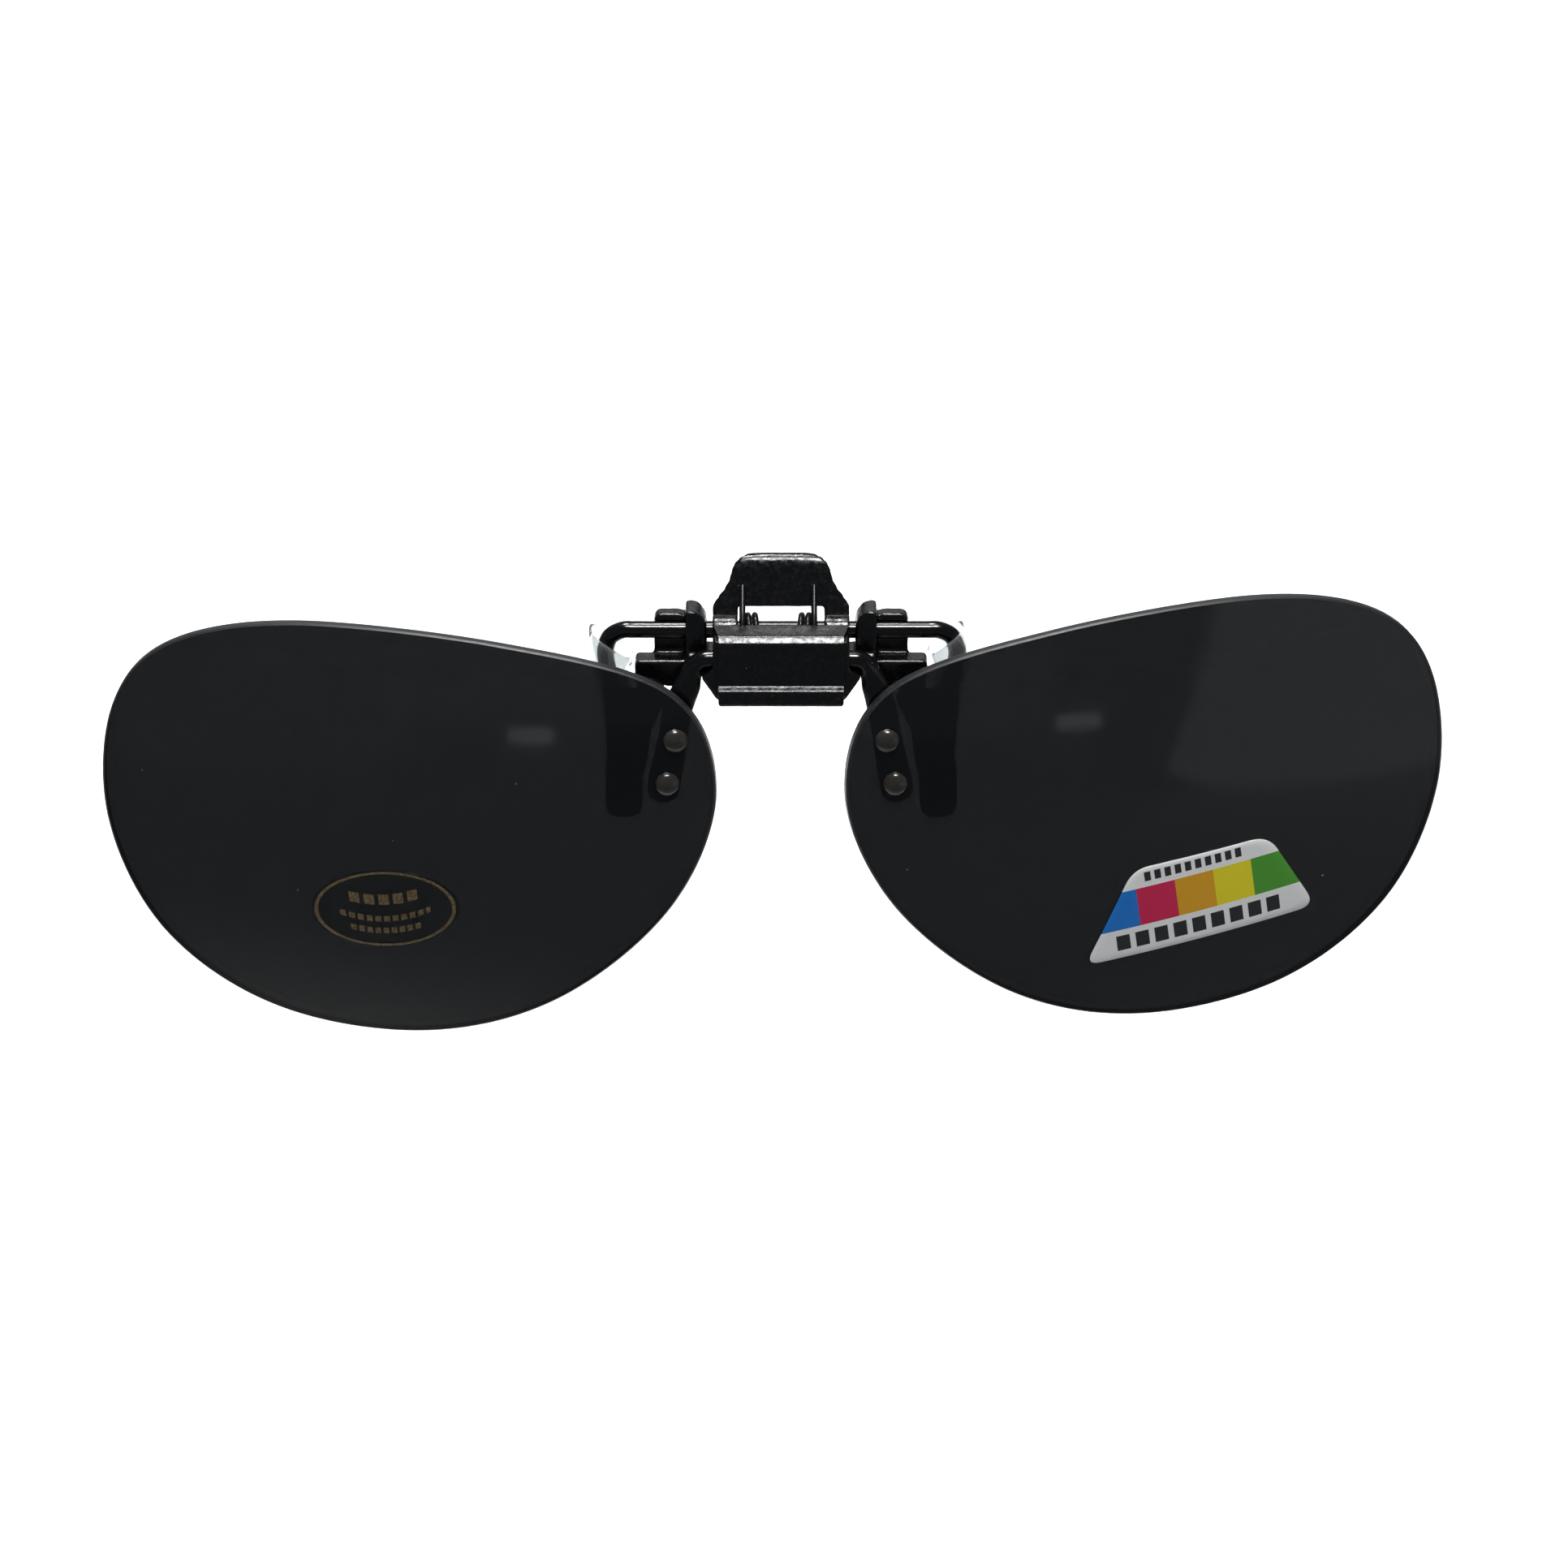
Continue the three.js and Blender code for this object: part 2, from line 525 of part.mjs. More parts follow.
// The lever stands on its own axes: x across, s up the sheet, and t behind the axle.
function thumbLever() {
  const side = [[6.6, -0.2, 0], [6.6, 2.1, 0.5], [4.8, 4.7, 1.2], [4.65, 6.5, 0.8], [3.1, 7.35, 1.5]];
  const outline = roundedShape([...side, ...mirrorPoints(side, -1).reverse()]);
  const sheetBack = LEVER_KNUCKLE_RADIUS;
  const sheet = plateXZ(outline, sheetBack - LEVER_SHEET, sheetBack);
  const lip = roundedShape([
    [sheetBack - LEVER_SHEET, 6.4, 0.2], [sheetBack, 6.3, 0], [sheetBack + 0.75, 6.85, 0.2],
    [sheetBack + 0.75, 7.4, 0.2], [sheetBack + 0.1, 7.35, 0.3],
  ]);
  const knuckle = (low, high) => rodX(LEVER_KNUCKLE_RADIUS, low, high, 0, 0);
  const notch = roundedShape([
    [LEVER_NOTCH_HALF_WIDTH, -2, 0], [LEVER_NOTCH_HALF_WIDTH, 2.2, 0.5],
    [-LEVER_NOTCH_HALF_WIDTH, 2.2, 0.5], [-LEVER_NOTCH_HALF_WIDTH, -2, 0],
  ]);
  const lever = join(sheet, barYZ(lip, -3.2, 3.2), knuckle(-6.6, 6.6));
  const cutLever = cut(lever, plateXZ(notch, -3, 3), rodX(LEVER_BORE_RADIUS, -8, 8, 0, 0));
  const lean = new THREE.Matrix4().makeRotationX(THREE.MathUtils.degToRad(-LEVER_LEAN));
  return solid(geometryOf(cutLever).applyMatrix4(lean.setPosition(0, AXLE_Y, AXLE_Z)));
}

// One wire: a leg on the lever, a coil on the axle, a bridge on the box, and the same back.
function torsionSpring() {
  const lean = THREE.MathUtils.degToRad(LEVER_LEAN);
  const onLever = (t, s) => [
    AXLE_Y + t * Math.cos(lean) + s * Math.sin(lean),
    AXLE_Z + s * Math.cos(lean) - t * Math.sin(lean),
  ];
  const stepsPerTurn = 10;
  const half = [[0.45, 4.2], [-0.1, 3.0], [-0.75, 1.6]].map(([t, s]) => [SPRING_LEG_X, ...onLever(t, s)]);
  for (let i = 0; i <= SPRING_TURNS * stepsPerTurn; i++) {
    const turns = i / stepsPerTurn;
    const angle = Math.PI - lean + 2 * Math.PI * turns;
    half.push([
      SPRING_LEG_X + SPRING_PITCH * turns,
      AXLE_Y + SPRING_COIL_RADIUS * Math.cos(angle),
      AXLE_Z + SPRING_COIL_RADIUS * Math.sin(angle),
    ]);
  }
  half.push([-1.7, AXLE_Y - SPRING_COIL_RADIUS + 0.07, 0.9]);
  const route = new Route([...half, ...mirrorPoints(half, -1).reverse()]);
  return solid(wire(route, SPRING_WIRE_RADIUS, 1, 6).translate(SPRING_SHIFT_X, 0, 0));
}

// ---------------------------------------------------------------- assembly

const assembly = new THREE.Group();
assembly.name = 'clip_on_flip_lenses';

function add(name, manifold, look) {
  const mesh = new THREE.Mesh(geometryOf(manifold), new THREE.MeshStandardMaterial(look));
  mesh.name = name;
  assembly.add(mesh);
}

add('hinge_cover', hingeCover(), FINISHES.blackPaint);
add('base_bracket', baseBracket(), FINISHES.blackPaint);
add('detent_spring', detentSpring(), FINISHES.springSteel);
add('torsion_spring', torsionSpring(), FINISHES.springSteel);
add('thumb_lever', thumbLever(), FINISHES.blackPaint);
add('jaw_wire', jawWire(), FINISHES.blackPaint);

const frames = Object.values(LENS_POSES).map(lensFrame);
add('lens_wire', lensWire(frames), FINISHES.blackPaint);

Object.keys(LENS_POSES).forEach((hand, i) => {
  const frame = frames[i];
  const { side } = frame;
  add(`front_jaw_${hand}`, frontJaw(side), FINISHES.blackPaint);
  add(`front_pad_${hand}`, frontPad(side), FINISHES.blackVinyl);
  add(`rear_sleeve_${hand}`, rearSleeve(side), FINISHES.clearVinyl);
  add(`lens_${hand}`, lens(frame), FINISHES.lensGrey);
  for (const place of ['upper', 'lower']) {
    add(`rivet_${hand}_${place}`, rivet(frame, place), FINISHES.smokyNylon);
    add(`washer_${hand}_${place}`, washer(frame, place), FINISHES.clearVinyl);
  }
});

add('label_oval', label(frames[0], ovalShape(frames[0].side)), FINISHES.clearFilm);
add('label_band', label(frames[1], bandShape(frames[1].side)), FINISHES.printedFilm);

assembly.position.set(0, -GRIP_Y, -GRIP_Z);

export default assembly;
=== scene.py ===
import json
import math

import bmesh
import bpy
from bpy.props import FloatProperty, FloatVectorProperty, IntProperty, PointerProperty
from mathutils import Matrix, Vector, noise


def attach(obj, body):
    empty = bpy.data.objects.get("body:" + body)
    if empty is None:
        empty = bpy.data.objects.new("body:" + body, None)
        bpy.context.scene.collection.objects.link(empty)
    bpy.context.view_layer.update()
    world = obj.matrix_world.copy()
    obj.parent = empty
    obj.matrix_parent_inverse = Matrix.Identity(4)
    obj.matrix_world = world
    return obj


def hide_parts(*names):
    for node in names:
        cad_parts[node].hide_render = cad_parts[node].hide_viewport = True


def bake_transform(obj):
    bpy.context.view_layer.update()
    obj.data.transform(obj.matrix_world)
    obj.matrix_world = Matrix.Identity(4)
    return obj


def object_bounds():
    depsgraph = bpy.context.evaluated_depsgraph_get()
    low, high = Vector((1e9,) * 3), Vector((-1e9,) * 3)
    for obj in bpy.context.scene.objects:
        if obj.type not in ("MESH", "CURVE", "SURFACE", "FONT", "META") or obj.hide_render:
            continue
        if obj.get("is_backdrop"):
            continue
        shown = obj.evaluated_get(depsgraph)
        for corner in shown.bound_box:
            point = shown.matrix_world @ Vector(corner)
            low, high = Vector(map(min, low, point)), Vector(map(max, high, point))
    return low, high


bl_info = {
    "name": "Clip-on Flip Lenses",
    "version": (1, 0, 0),
    "blender": (4, 5, 0),
    "location": "3D View > Sidebar > Flip Lenses",
    "description": "Builds the finished pieces of a pair of clip-on flip lenses around their frame",
    "category": "Object",
}

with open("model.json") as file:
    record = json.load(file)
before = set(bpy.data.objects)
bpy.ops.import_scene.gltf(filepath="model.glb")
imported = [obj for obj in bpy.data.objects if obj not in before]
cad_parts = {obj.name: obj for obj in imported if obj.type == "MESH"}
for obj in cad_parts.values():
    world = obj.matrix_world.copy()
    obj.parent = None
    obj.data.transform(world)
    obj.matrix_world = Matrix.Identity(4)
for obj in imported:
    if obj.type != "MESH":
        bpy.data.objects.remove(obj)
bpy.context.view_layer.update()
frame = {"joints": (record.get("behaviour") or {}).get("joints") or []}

# ------------------------------------------------------------------ places, in millimetres
# Pieces are modelled in millimetres from a datum in the middle of the hinge box: X = 0 on the
# centre plane, Y = 0 on the flip axis, +Z up and -Y to the front. TO_ROW puts them in the frame.

MM = 0.001
FLIP_AXIS_Z = -0.35
JOINTS = {joint["name"]: joint for joint in frame["joints"]}
DATUM = Vector(JOINTS["lens_flip"]["pos_m"]) - Vector((0, 0, FLIP_AXIS_Z * MM))
TO_ROW = Matrix.Translation(DATUM) @ Matrix.Scale(MM, 4)
AXLE = (Vector(JOINTS["lever_squeeze"]["pos_m"]) - DATUM) / MM

X_AXIS = Vector((1, 0, 0))
Y_AXIS = Vector((0, 1, 0))
Z_AXIS = Vector((0, 0, 1))
SIDES = {"left": -1, "right": 1}

LENS_RADIUS = 120
LENS_THICKNESS = 1.0
LENS_CENTRE_X = 37.5
LENS_OUTLINE = [
    (30, 9.5), (25, 17.5), (12.5, 22.5), (-7, 24), (-23.5, 21.5), (-29.5, 12),
    (-27, -0.5), (-17.5, -12), (-5, -18), (10, -18.5), (22, -13), (29, -2.5),
]
LENS_POSES = {
    "left": {"wrap": 7, "roll": 8, "height": -21.1},
    "right": {"wrap": 13.5, "roll": 9, "height": -20.4},
}
RIVETS = {"upper": (10.2, -7.85), "lower": (11.0, -12.2)}
LENS_FRONT_AT_RIVET_Y = -2.4

PLATE_FRONT = 1.42
PLATE_THICKNESS = 0.9
COVER_HALF_WIDTH = 6.05
LEVER_LEAN = math.radians(22)
REAR_JAW_Y = 3.65


# ------------------------------------------------------------------ sizes and colours

class FLIPLENS_PG_sizes(bpy.types.PropertyGroup):
    lens_edge_rounding: FloatProperty(
        name="Lens edge rounding", description="Width of the chamfer round each lens",
        default=0.00014, min=0.00002, max=0.0003, precision=5, unit="LENGTH")
    lens_wire_radius: FloatProperty(
        name="Lens wire radius", description="Radius of the wire that carries the lenses",
        default=0.0009, min=0.0006, max=0.00095, precision=5, unit="LENGTH")
    jaw_wire_radius: FloatProperty(
        name="Jaw wire radius", description="Radius of the lever's axle and the rear jaws",
        default=0.00083, min=0.0006, max=0.0009, precision=5, unit="LENGTH")
    spring_wire_radius: FloatProperty(
        name="Spring wire radius", description="Radius of the torsion spring's wire",
        default=0.0003, min=0.0002, max=0.00033, precision=5, unit="LENGTH")
    sleeve_wall: FloatProperty(
        name="Sleeve wall", description="Wall thickness of the clear vinyl sleeves",
        default=0.00038, min=0.0002, max=0.0005, precision=5, unit="LENGTH")
    film_thickness: FloatProperty(
        name="Film thickness", description="Thickness of the two labels",
        default=0.00012, min=0.00005, max=0.0002, precision=5, unit="LENGTH")
    cast_grain: FloatProperty(
        name="Cast grain", description="Edge length of the fine mesh of the castings",
        default=0.00013, min=0.00008, max=0.0003, precision=5, unit="LENGTH")
    paint_lumps: FloatProperty(
        name="Paint lumps", description="Height of the unevenness under the paint",
        default=0.000016, min=0.0, max=0.00005, precision=6, unit="LENGTH")
    wire_sides: IntProperty(
        name="Wire sides", description="Number of sides of each wire", default=24, min=12, max=48)


class FLIPLENS_PG_colours(bpy.types.PropertyGroup):
    enamel: FloatVectorProperty(
        name="Enamel", description="Black paint on castings, sheet and wire",
        default=(0.0024, 0.0024, 0.0026), subtype="COLOR", min=0, max=1)
    lens: FloatVectorProperty(
        name="Lens", description="Body colour of the lenses",
        default=(0.0025, 0.003, 0.0042), subtype="COLOR", min=0, max=1)
    lens_cover: FloatProperty(
        name="Lens cover", description="Share of the light that each face of a lens stops",
        default=0.935, min=0.5, max=1.0, subtype="FACTOR")
    black_vinyl: FloatVectorProperty(
        name="Black vinyl", description="Boots of the front jaws",
        default=(0.0065, 0.0065, 0.007), subtype="COLOR", min=0, max=1)
    clear_vinyl: FloatVectorProperty(
        name="Clear vinyl", description="Sleeves of the rear jaws, and the washers",
        default=(0.86, 0.885, 0.89), subtype="COLOR", min=0, max=1)
    nylon: FloatVectorProperty(
        name="Nylon", description="Rivets",
        default=(0.034, 0.031, 0.025), subtype="COLOR", min=0, max=1)
    bronze: FloatVectorProperty(
        name="Bronze ink", description="Ring and bars of the oval label",
        default=(0.19, 0.135, 0.07), subtype="COLOR", min=0, max=1)
    label_white: FloatVectorProperty(
        name="Label white", description="Ground of the printed label",
        default=(0.88, 0.88, 0.87), subtype="COLOR", min=0, max=1)
    floor: FloatVectorProperty(
        name="Floor", description="Pale floor",
        default=(0.86, 0.86, 0.86), subtype="COLOR", min=0, max=1)


def sizes():
    return bpy.context.scene.flip_lens_sizes


def colours():
    return bpy.context.scene.flip_lens_colours


# ------------------------------------------------------------------ curves

ROUND_STEPS = 8
LONGEST_STEP = 1.2
END_STEPS = 6


def mix(p, q, share):
    return p + (q - p) * share


def between(a, b, c, d, share):
    """The point a share of the way from b to c on a smooth curve through a, b, c and d."""
    first = (b - a).length ** 0.5
    second = first + (c - b).length ** 0.5
    third = second + (d - c).length ** 0.5
    now = first + share * (second - first)
    ab = mix(a, b, now / first)
    bc = mix(b, c, (now - first) / (second - first))
    cd = mix(c, d, (now - second) / (third - second))
    abc = mix(ab, bc, now / second)
    bcd = mix(bc, cd, (now - first) / (third - first))
    return mix(abc, bcd, (now - first) / (second - first))


def smooth_route(knots, steps):
    """Points and sizes along a smooth curve. A knot is (point, half width, half thickness,
    squareness)."""
    points = [Vector(knot[0]) for knot in knots]
    around = [2 * points[0] - points[1], *points, 2 * points[-1] - points[-2]]
    route = []
    for i in range(len(points) - 1):
        for step in range(steps):
            share = step / steps
            ease = share * share * (3 - 2 * share)
            section = [mix(p, q, ease) for p, q in zip(knots[i][1:], knots[i + 1][1:])]
            route.append((between(*around[i:i + 4], share), *section))
    route.append((points[-1], *knots[-1][1:]))
    return route


def closed_outline(corners, steps):
    """A smooth closed outline through (x, z) corners."""
    ring = [Vector(corner) for corner in corners]
    count = len(ring)
    outline = []
    for i in range(count):
        a, b, c, d = (ring[(i + k - 1) % count] for k in range(4))
        for step in range(steps):
            t = step / steps
            outline.append(0.5 * (2 * b + (c - a) * t + (2 * a - 5 * b + 4 * c - d) * t ** 2
                                  + (3 * b - a - 3 * c + d) * t ** 3))
    return outline


def rounded_outline(corners):
    """A polygon of (x, z, rounding) corners, with its long edges divided."""
    outline = []
    for i, (x, z, rounding) in enumerate(corners):
        here = Vector((x, z))
        before = Vector(corners[i - 1][:2]) - here
        after = Vector(corners[(i + 1) % len(corners)][:2]) - here
        start, end = here + before.normalized() * rounding, here + after.normalized() * rounding
        if outline:
            gap = start - outline[-1]
            pieces = max(1, math.ceil(gap.length / LONGEST_STEP))
            outline += [outline[-1] + gap * k / pieces for k in range(1, pieces)]
        for step in range(ROUND_STEPS + 1):
            t = step / ROUND_STEPS
            outline.append((1 - t) ** 2 * start + 2 * t * (1 - t) * here + t * t * end)
    gap = outline[0] - outline[-1]
    pieces = max(1, math.ceil(gap.length / LONGEST_STEP))
    return outline + [outline[-1] + gap * k / pieces for k in range(1, pieces)]


# ------------------------------------------------------------------ mesh tools

CORNER_STEPS = 5
RIM_STEPS = 3
ROD_SIDES = 36
SOFTENING_STEPS = 3
BOOT_FLOOR = 6


def ring_edges(ring):
    members = set(ring)
    return list({edge for vert in ring for edge in vert.link_edges if members.issuperset(edge.verts)})


def bridge_rings(bm, rings):
    for lower, upper in zip(rings, rings[1:]):
        bmesh.ops.bridge_loops(bm, edges=ring_edges(lower) + ring_edges(upper))


def squared(value, squareness):
    """Turns the cosine or sine of a circle into that of a squarer oval."""
    return math.copysign(abs(value) ** (2 / squareness), value)


def sweep(bm, stations, thick=Y_AXIS, sides=None):
    """A closed skin through oval rings along a route. A station is (point, half width, half
    thickness, squareness), with a direction of travel as an optional fifth value."""
    sides = sides or sizes().wire_sides
    points = [station[0] for station in stations]
    rings = []
    for i, (point, half_width, half_thickness, squareness, *given) in enumerate(stations):
        ahead = points[min(i + 1, len(points) - 1)] - points[max(i - 1, 0)]
        travel = (given[0] if given else ahead).normalized()
        thick = (thick - thick.dot(travel) * travel).normalized()
        across = thick.cross(travel)
        ends = i in (0, len(stations) - 1)
        ring = bmesh.ops.create_circle(bm, cap_ends=ends, radius=1, segments=sides)["verts"]
        for vert in ring:
            wide, deep = squared(vert.co.x, squareness), squared(vert.co.y, squareness)
            vert.co = point + across * (wide * half_width) + thick * (deep * half_thickness)
        rings.append(ring)
    bridge_rings(bm, rings)


def rounded_end(station, travel, reach):
    """Stations that round a flat section off over a reach beyond its last station."""
    point, half_width, half_thickness, squareness = station[:4]
    rounded = []
    for step in range(1, END_STEPS + 1):
        angle = math.pi / 2 * step / END_STEPS
        narrow = max(math.cos(angle), 0.12)
        slim = 0.55 + 0.45 * narrow
        rounded.append((point + travel * (reach * math.sin(angle)),
                        half_width * narrow, half_thickness * slim, squareness, travel))
    return rounded


def open_boot(outside, wall):
    """Stations of a soft boot that is open at its last station: up the outside, over the lip
    and down the inside to its floor. The travel stays upwards, so the rings line up."""
    points = [station[0] for station in outside]
    skin = []
    for i, (point, *section) in enumerate(outside):
        travel = points[min(i + 1, len(points) - 1)] - points[max(i - 1, 0)]
        skin.append((point, *section[:3], section[3] if len(section) > 3 else travel))
    point, wide, thick, square, travel = skin[-1]
    lip_point = point + travel.normalized() * wall * 0.35
    lip = (lip_point, wide - wall / 2, thick - wall / 2, square, travel)
    inside = [(p, w - wall, t - wall, s, d) for p, w, t, s, d in reversed(skin[BOOT_FLOOR:])]
    return [*skin, lip, *inside]


def plate(corners, lie, low, high, rim=0.0):
    """A flat plate with rounded corners and rims. Corners are (a, b, rounding); lie says which
    plane they are in, and low and high where the plate begins and ends across that plane."""
    bm = bmesh.new()
    verts = [bm.verts.new((a, b, 0)) for a, b, _ in corners]
    bm.faces.new(verts)
    for rounding in sorted({corner[2] for corner in corners if corner[2] > 0}):
        chosen = [vert for vert, corner in zip(verts, corners) if corner[2] == rounding]
        bmesh.ops.bevel(bm, geom=chosen, offset=rounding, segments=CORNER_STEPS, profile=0.5,
                        affect="VERTICES", clamp_overlap=True, material=-1)
    grown = bmesh.ops.extrude_face_region(bm, geom=list(bm.faces))["geom"]
    moved = [part for part in grown if isinstance(part, bmesh.types.BMVert)]
    bmesh.ops.translate(bm, verts=moved, vec=(0, 0, high - low))
    bmesh.ops.recalc_face_normals(bm, faces=bm.faces)
    if rim:
        caps = [face for face in bm.faces if abs(face.normal.z) > 0.99]
        edges = list({edge for face in caps for edge in face.edges})
        bmesh.ops.bevel(bm, geom=edges, offset=rim, segments=RIM_STEPS, profile=0.5,
                        affect="EDGES", clamp_overlap=True, material=-1)
    columns = {"XZ": (X_AXIS, Z_AXIS, Y_AXIS), "YZ": (Y_AXIS, Z_AXIS, X_AXIS)}[lie]
    turn = Matrix(columns).transposed().to_4x4()
    bmesh.ops.translate(bm, verts=bm.verts, vec=(0, 0, low))
    bmesh.ops.transform(bm, matrix=turn, verts=bm.verts)
    bmesh.ops.recalc_face_normals(bm, faces=bm.faces)
    return bm


def mirrored(corners, side):
    return [(side * corner[0], *corner[1:]) for corner in corners]


def rod(radius, low, high, y, z):
    """A round bar along X."""
    bm = bmesh.new()
    turn = Matrix.Translation(((low + high) / 2, y, z)) @ Matrix.Rotation(math.pi / 2, 4, "Y")
    bmesh.ops.create_cone(bm, cap_ends=True, segments=ROD_SIDES, radius1=radius, radius2=radius,
                          depth=high - low, matrix=turn)
    return bm


def temporary_object(bm, name):
    mesh = bpy.data.meshes.new(name)
    bm.to_mesh(mesh)
    bm.free()
    holder = bpy.data.objects.new(name, mesh)
    bpy.context.scene.collection.objects.link(holder)
    return holder


def evaluated_mesh(holder):
    """The mesh of an object with its modifiers applied, as a bmesh."""
    evaluated = holder.evaluated_get(bpy.context.evaluated_depsgraph_get())
    bm = bmesh.new()
    bm.from_mesh(evaluated.to_mesh())
    evaluated.to_mesh_clear()
    return bm


def remove_object(holder):
    mesh = holder.data
    bpy.data.objects.remove(holder)
    bpy.data.meshes.remove(mesh)


def skin_again(holder, name, grain):
    skin = holder.modifiers.new(name, "REMESH")
    skin.mode = "VOXEL"
    skin.voxel_size = grain


def cast(shells, cutters, grain):
    """Overlapping closed shells, less the cutters, skinned as one even surface of a mesh size,
    with its edges softened."""
    pile = bpy.data.meshes.new("pile")
    joined = bmesh.new()
    for shell in shells:
        shell.to_mesh(pile)
        joined.from_mesh(pile)
        shell.free()
    bpy.data.meshes.remove(pile)
    lows = [min(vert.co[axis] for vert in joined.verts) for axis in range(3)]
    highs = [max(vert.co[axis] for vert in joined.verts) for axis in range(3)]
    base = temporary_object(joined, "pile")
    skin_again(base, "one_skin", grain)
    holders = [temporary_object(bm, f"cutter_{i}") for i, bm in enumerate(cutters)]
    for i, cutter in enumerate(holders):
        remover = base.modifiers.new(f"cut_{i}", "BOOLEAN")
        remover.operation = "DIFFERENCE"
        remover.solver = "EXACT"
        remover.object = cutter
    if cutters:
        skin_again(base, "cut_skin", grain)
    smoothing = base.modifiers.new("soften", "SMOOTH")
    smoothing.factor = 0.5
    smoothing.iterations = SOFTENING_STEPS
    bm = evaluated_mesh(base)
    for holder in [base, *holders]:
        remove_object(holder)
    for axis in range(3):
        if (min(vert.co[axis] for vert in bm.verts) > lows[axis] + 3 * grain
                or max(vert.co[axis] for vert in bm.verts) < highs[axis] - 3 * grain):
            raise RuntimeError("the casting came out short of its shells")
    return bm


def uneven(bm, height, spacing):
    """Lifts and lowers a surface a little, as thick paint over a rough casting does."""
    bm.normal_update()
    lifts = [vert.normal * (height * noise.fractal(vert.co / spacing, 1.0, 2.0, 2))
             for vert in bm.verts]
    for vert, lift in zip(bm.verts, lifts):
        vert.co += lift


def finish_piece(bm, name, body, nodes, materials, sharp=math.radians(38), bend=None):
    """Turns a mesh in millimetres from the datum into a shown piece of the model. A bend is
    (other body, start, end): when one is given, the piece is baked in place and attached to
    no body; the other body, start and end are not read."""
    bmesh.ops.transform(bm, matrix=TO_ROW, verts=bm.verts)
    bmesh.ops.recalc_face_normals(bm, faces=bm.faces)
    for face in bm.faces:
        face.smooth = True
    for edge in bm.edges:
        if not edge.is_manifold:
            raise RuntimeError(f"{name} has an open edge")
        edge.smooth = edge.calc_face_angle(0) < sharp
    mesh = bpy.data.meshes.new(name)
    bm.to_mesh(mesh)
    bm.free()
    for material in materials:
        mesh.materials.append(material)
    piece = bpy.data.objects.new(name, mesh)
    bpy.context.scene.collection.objects.link(piece)
    if bend:
        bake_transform(piece)
    else:
        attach(piece, body)
    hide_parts(*nodes)


# ------------------------------------------------------------------ the lens frames

class LensFrame:
    """Where one lens stands: its front vertex, its turn, and the centre of its sphere."""

    def __init__(self, hand):
        self.side = SIDES[hand]
        pose = LENS_POSES[hand]
        turn = (Matrix.Rotation(math.radians(-self.side * pose["roll"]), 4, "Y")
                @ Matrix.Rotation(math.radians(self.side * pose["wrap"]), 4, "Z"))
        vertex = Vector((self.side * LENS_CENTRE_X, 0, pose["height"]))
        self.centre = vertex + turn @ Vector((0, LENS_RADIUS, 0))
        x, z = RIVETS["upper"]
        shift = LENS_FRONT_AT_RIVET_Y - self.front_y(self.side * x, z)
        vertex.y += shift
        self.centre.y += shift
        self.matrix = Matrix.Translation(vertex) @ turn

    def front_y(self, x, z):
        reach = LENS_RADIUS ** 2 - (x - self.centre.x) ** 2 - (z - self.centre.z) ** 2
        return self.centre.y - math.sqrt(reach)

    def rivet(self, place):
        """The frame of one rivet: origin on the lens front, +Y into the lens, +Z up the pair."""
        points = {}
        for name, (x, z) in RIVETS.items():
            points[name] = Vector((self.side * x, self.front_y(self.side * x, z), z))
        inward = (self.centre - (points["upper"] + points["lower"]) / 2).normalized()
        up = points["upper"] - points["lower"]
        across = inward.cross(up).normalized()
        up = across.cross(inward)
        turn = Matrix((across, inward, up)).transposed().to_4x4()
        return Matrix.Translation(points[place]) @ turn


FRAMES = {hand: LensFrame(hand) for hand in SIDES}


def on_sphere(point, depth):
    """A point of an outline, at a depth behind the lens front, in lens coordinates."""
    reach = (LENS_RADIUS - depth) ** 2 - point.x ** 2 - point.y ** 2
    return Vector((point.x, LENS_RADIUS - math.sqrt(reach), point.y))


def curved_sheet(bm, outline, middle, front, back, rim, matrix, rings=11):
    """A sheet that lies on the lens sphere: an outline shrunk ring by ring to its middle, on
    the front and on the back, with a chamfered rim between. Returns the faces of the rim."""
    reach = min((point - middle).length for point in outline)
    inset = 1 - rim / reach
    shares = [max(0.02, inset * (k / rings) ** 0.8) for k in range(rings + 1)]
    step = min(rim, (back - front) / 2)
    levels = [(share, front) for share in shares]
    if back - front > 2 * step:
        levels += [(1, front + step), (1, back - step)]
    else:
        levels += [(1, (front + back) / 2)]
    levels += [(share, back) for share in reversed(shares)]
    loops = []
    for k, (share, depth) in enumerate(levels):
        ends = k in (0, len(levels) - 1)
        loop = bmesh.ops.create_circle(bm, cap_ends=ends, radius=1, segments=len(outline))["verts"]
        for vert, point in zip(loop, outline):
            vert.co = matrix @ on_sphere(middle + (point - middle) * share, depth)
        loops.append(loop)
    bridge_rings(bm, loops)
    edge_verts = {vert for loop, (share, _) in zip(loops, levels) if share == 1 for vert in loop}
    return [face for face in bm.faces if edge_verts.intersection(face.verts)]


# ------------------------------------------------------------------ material tools

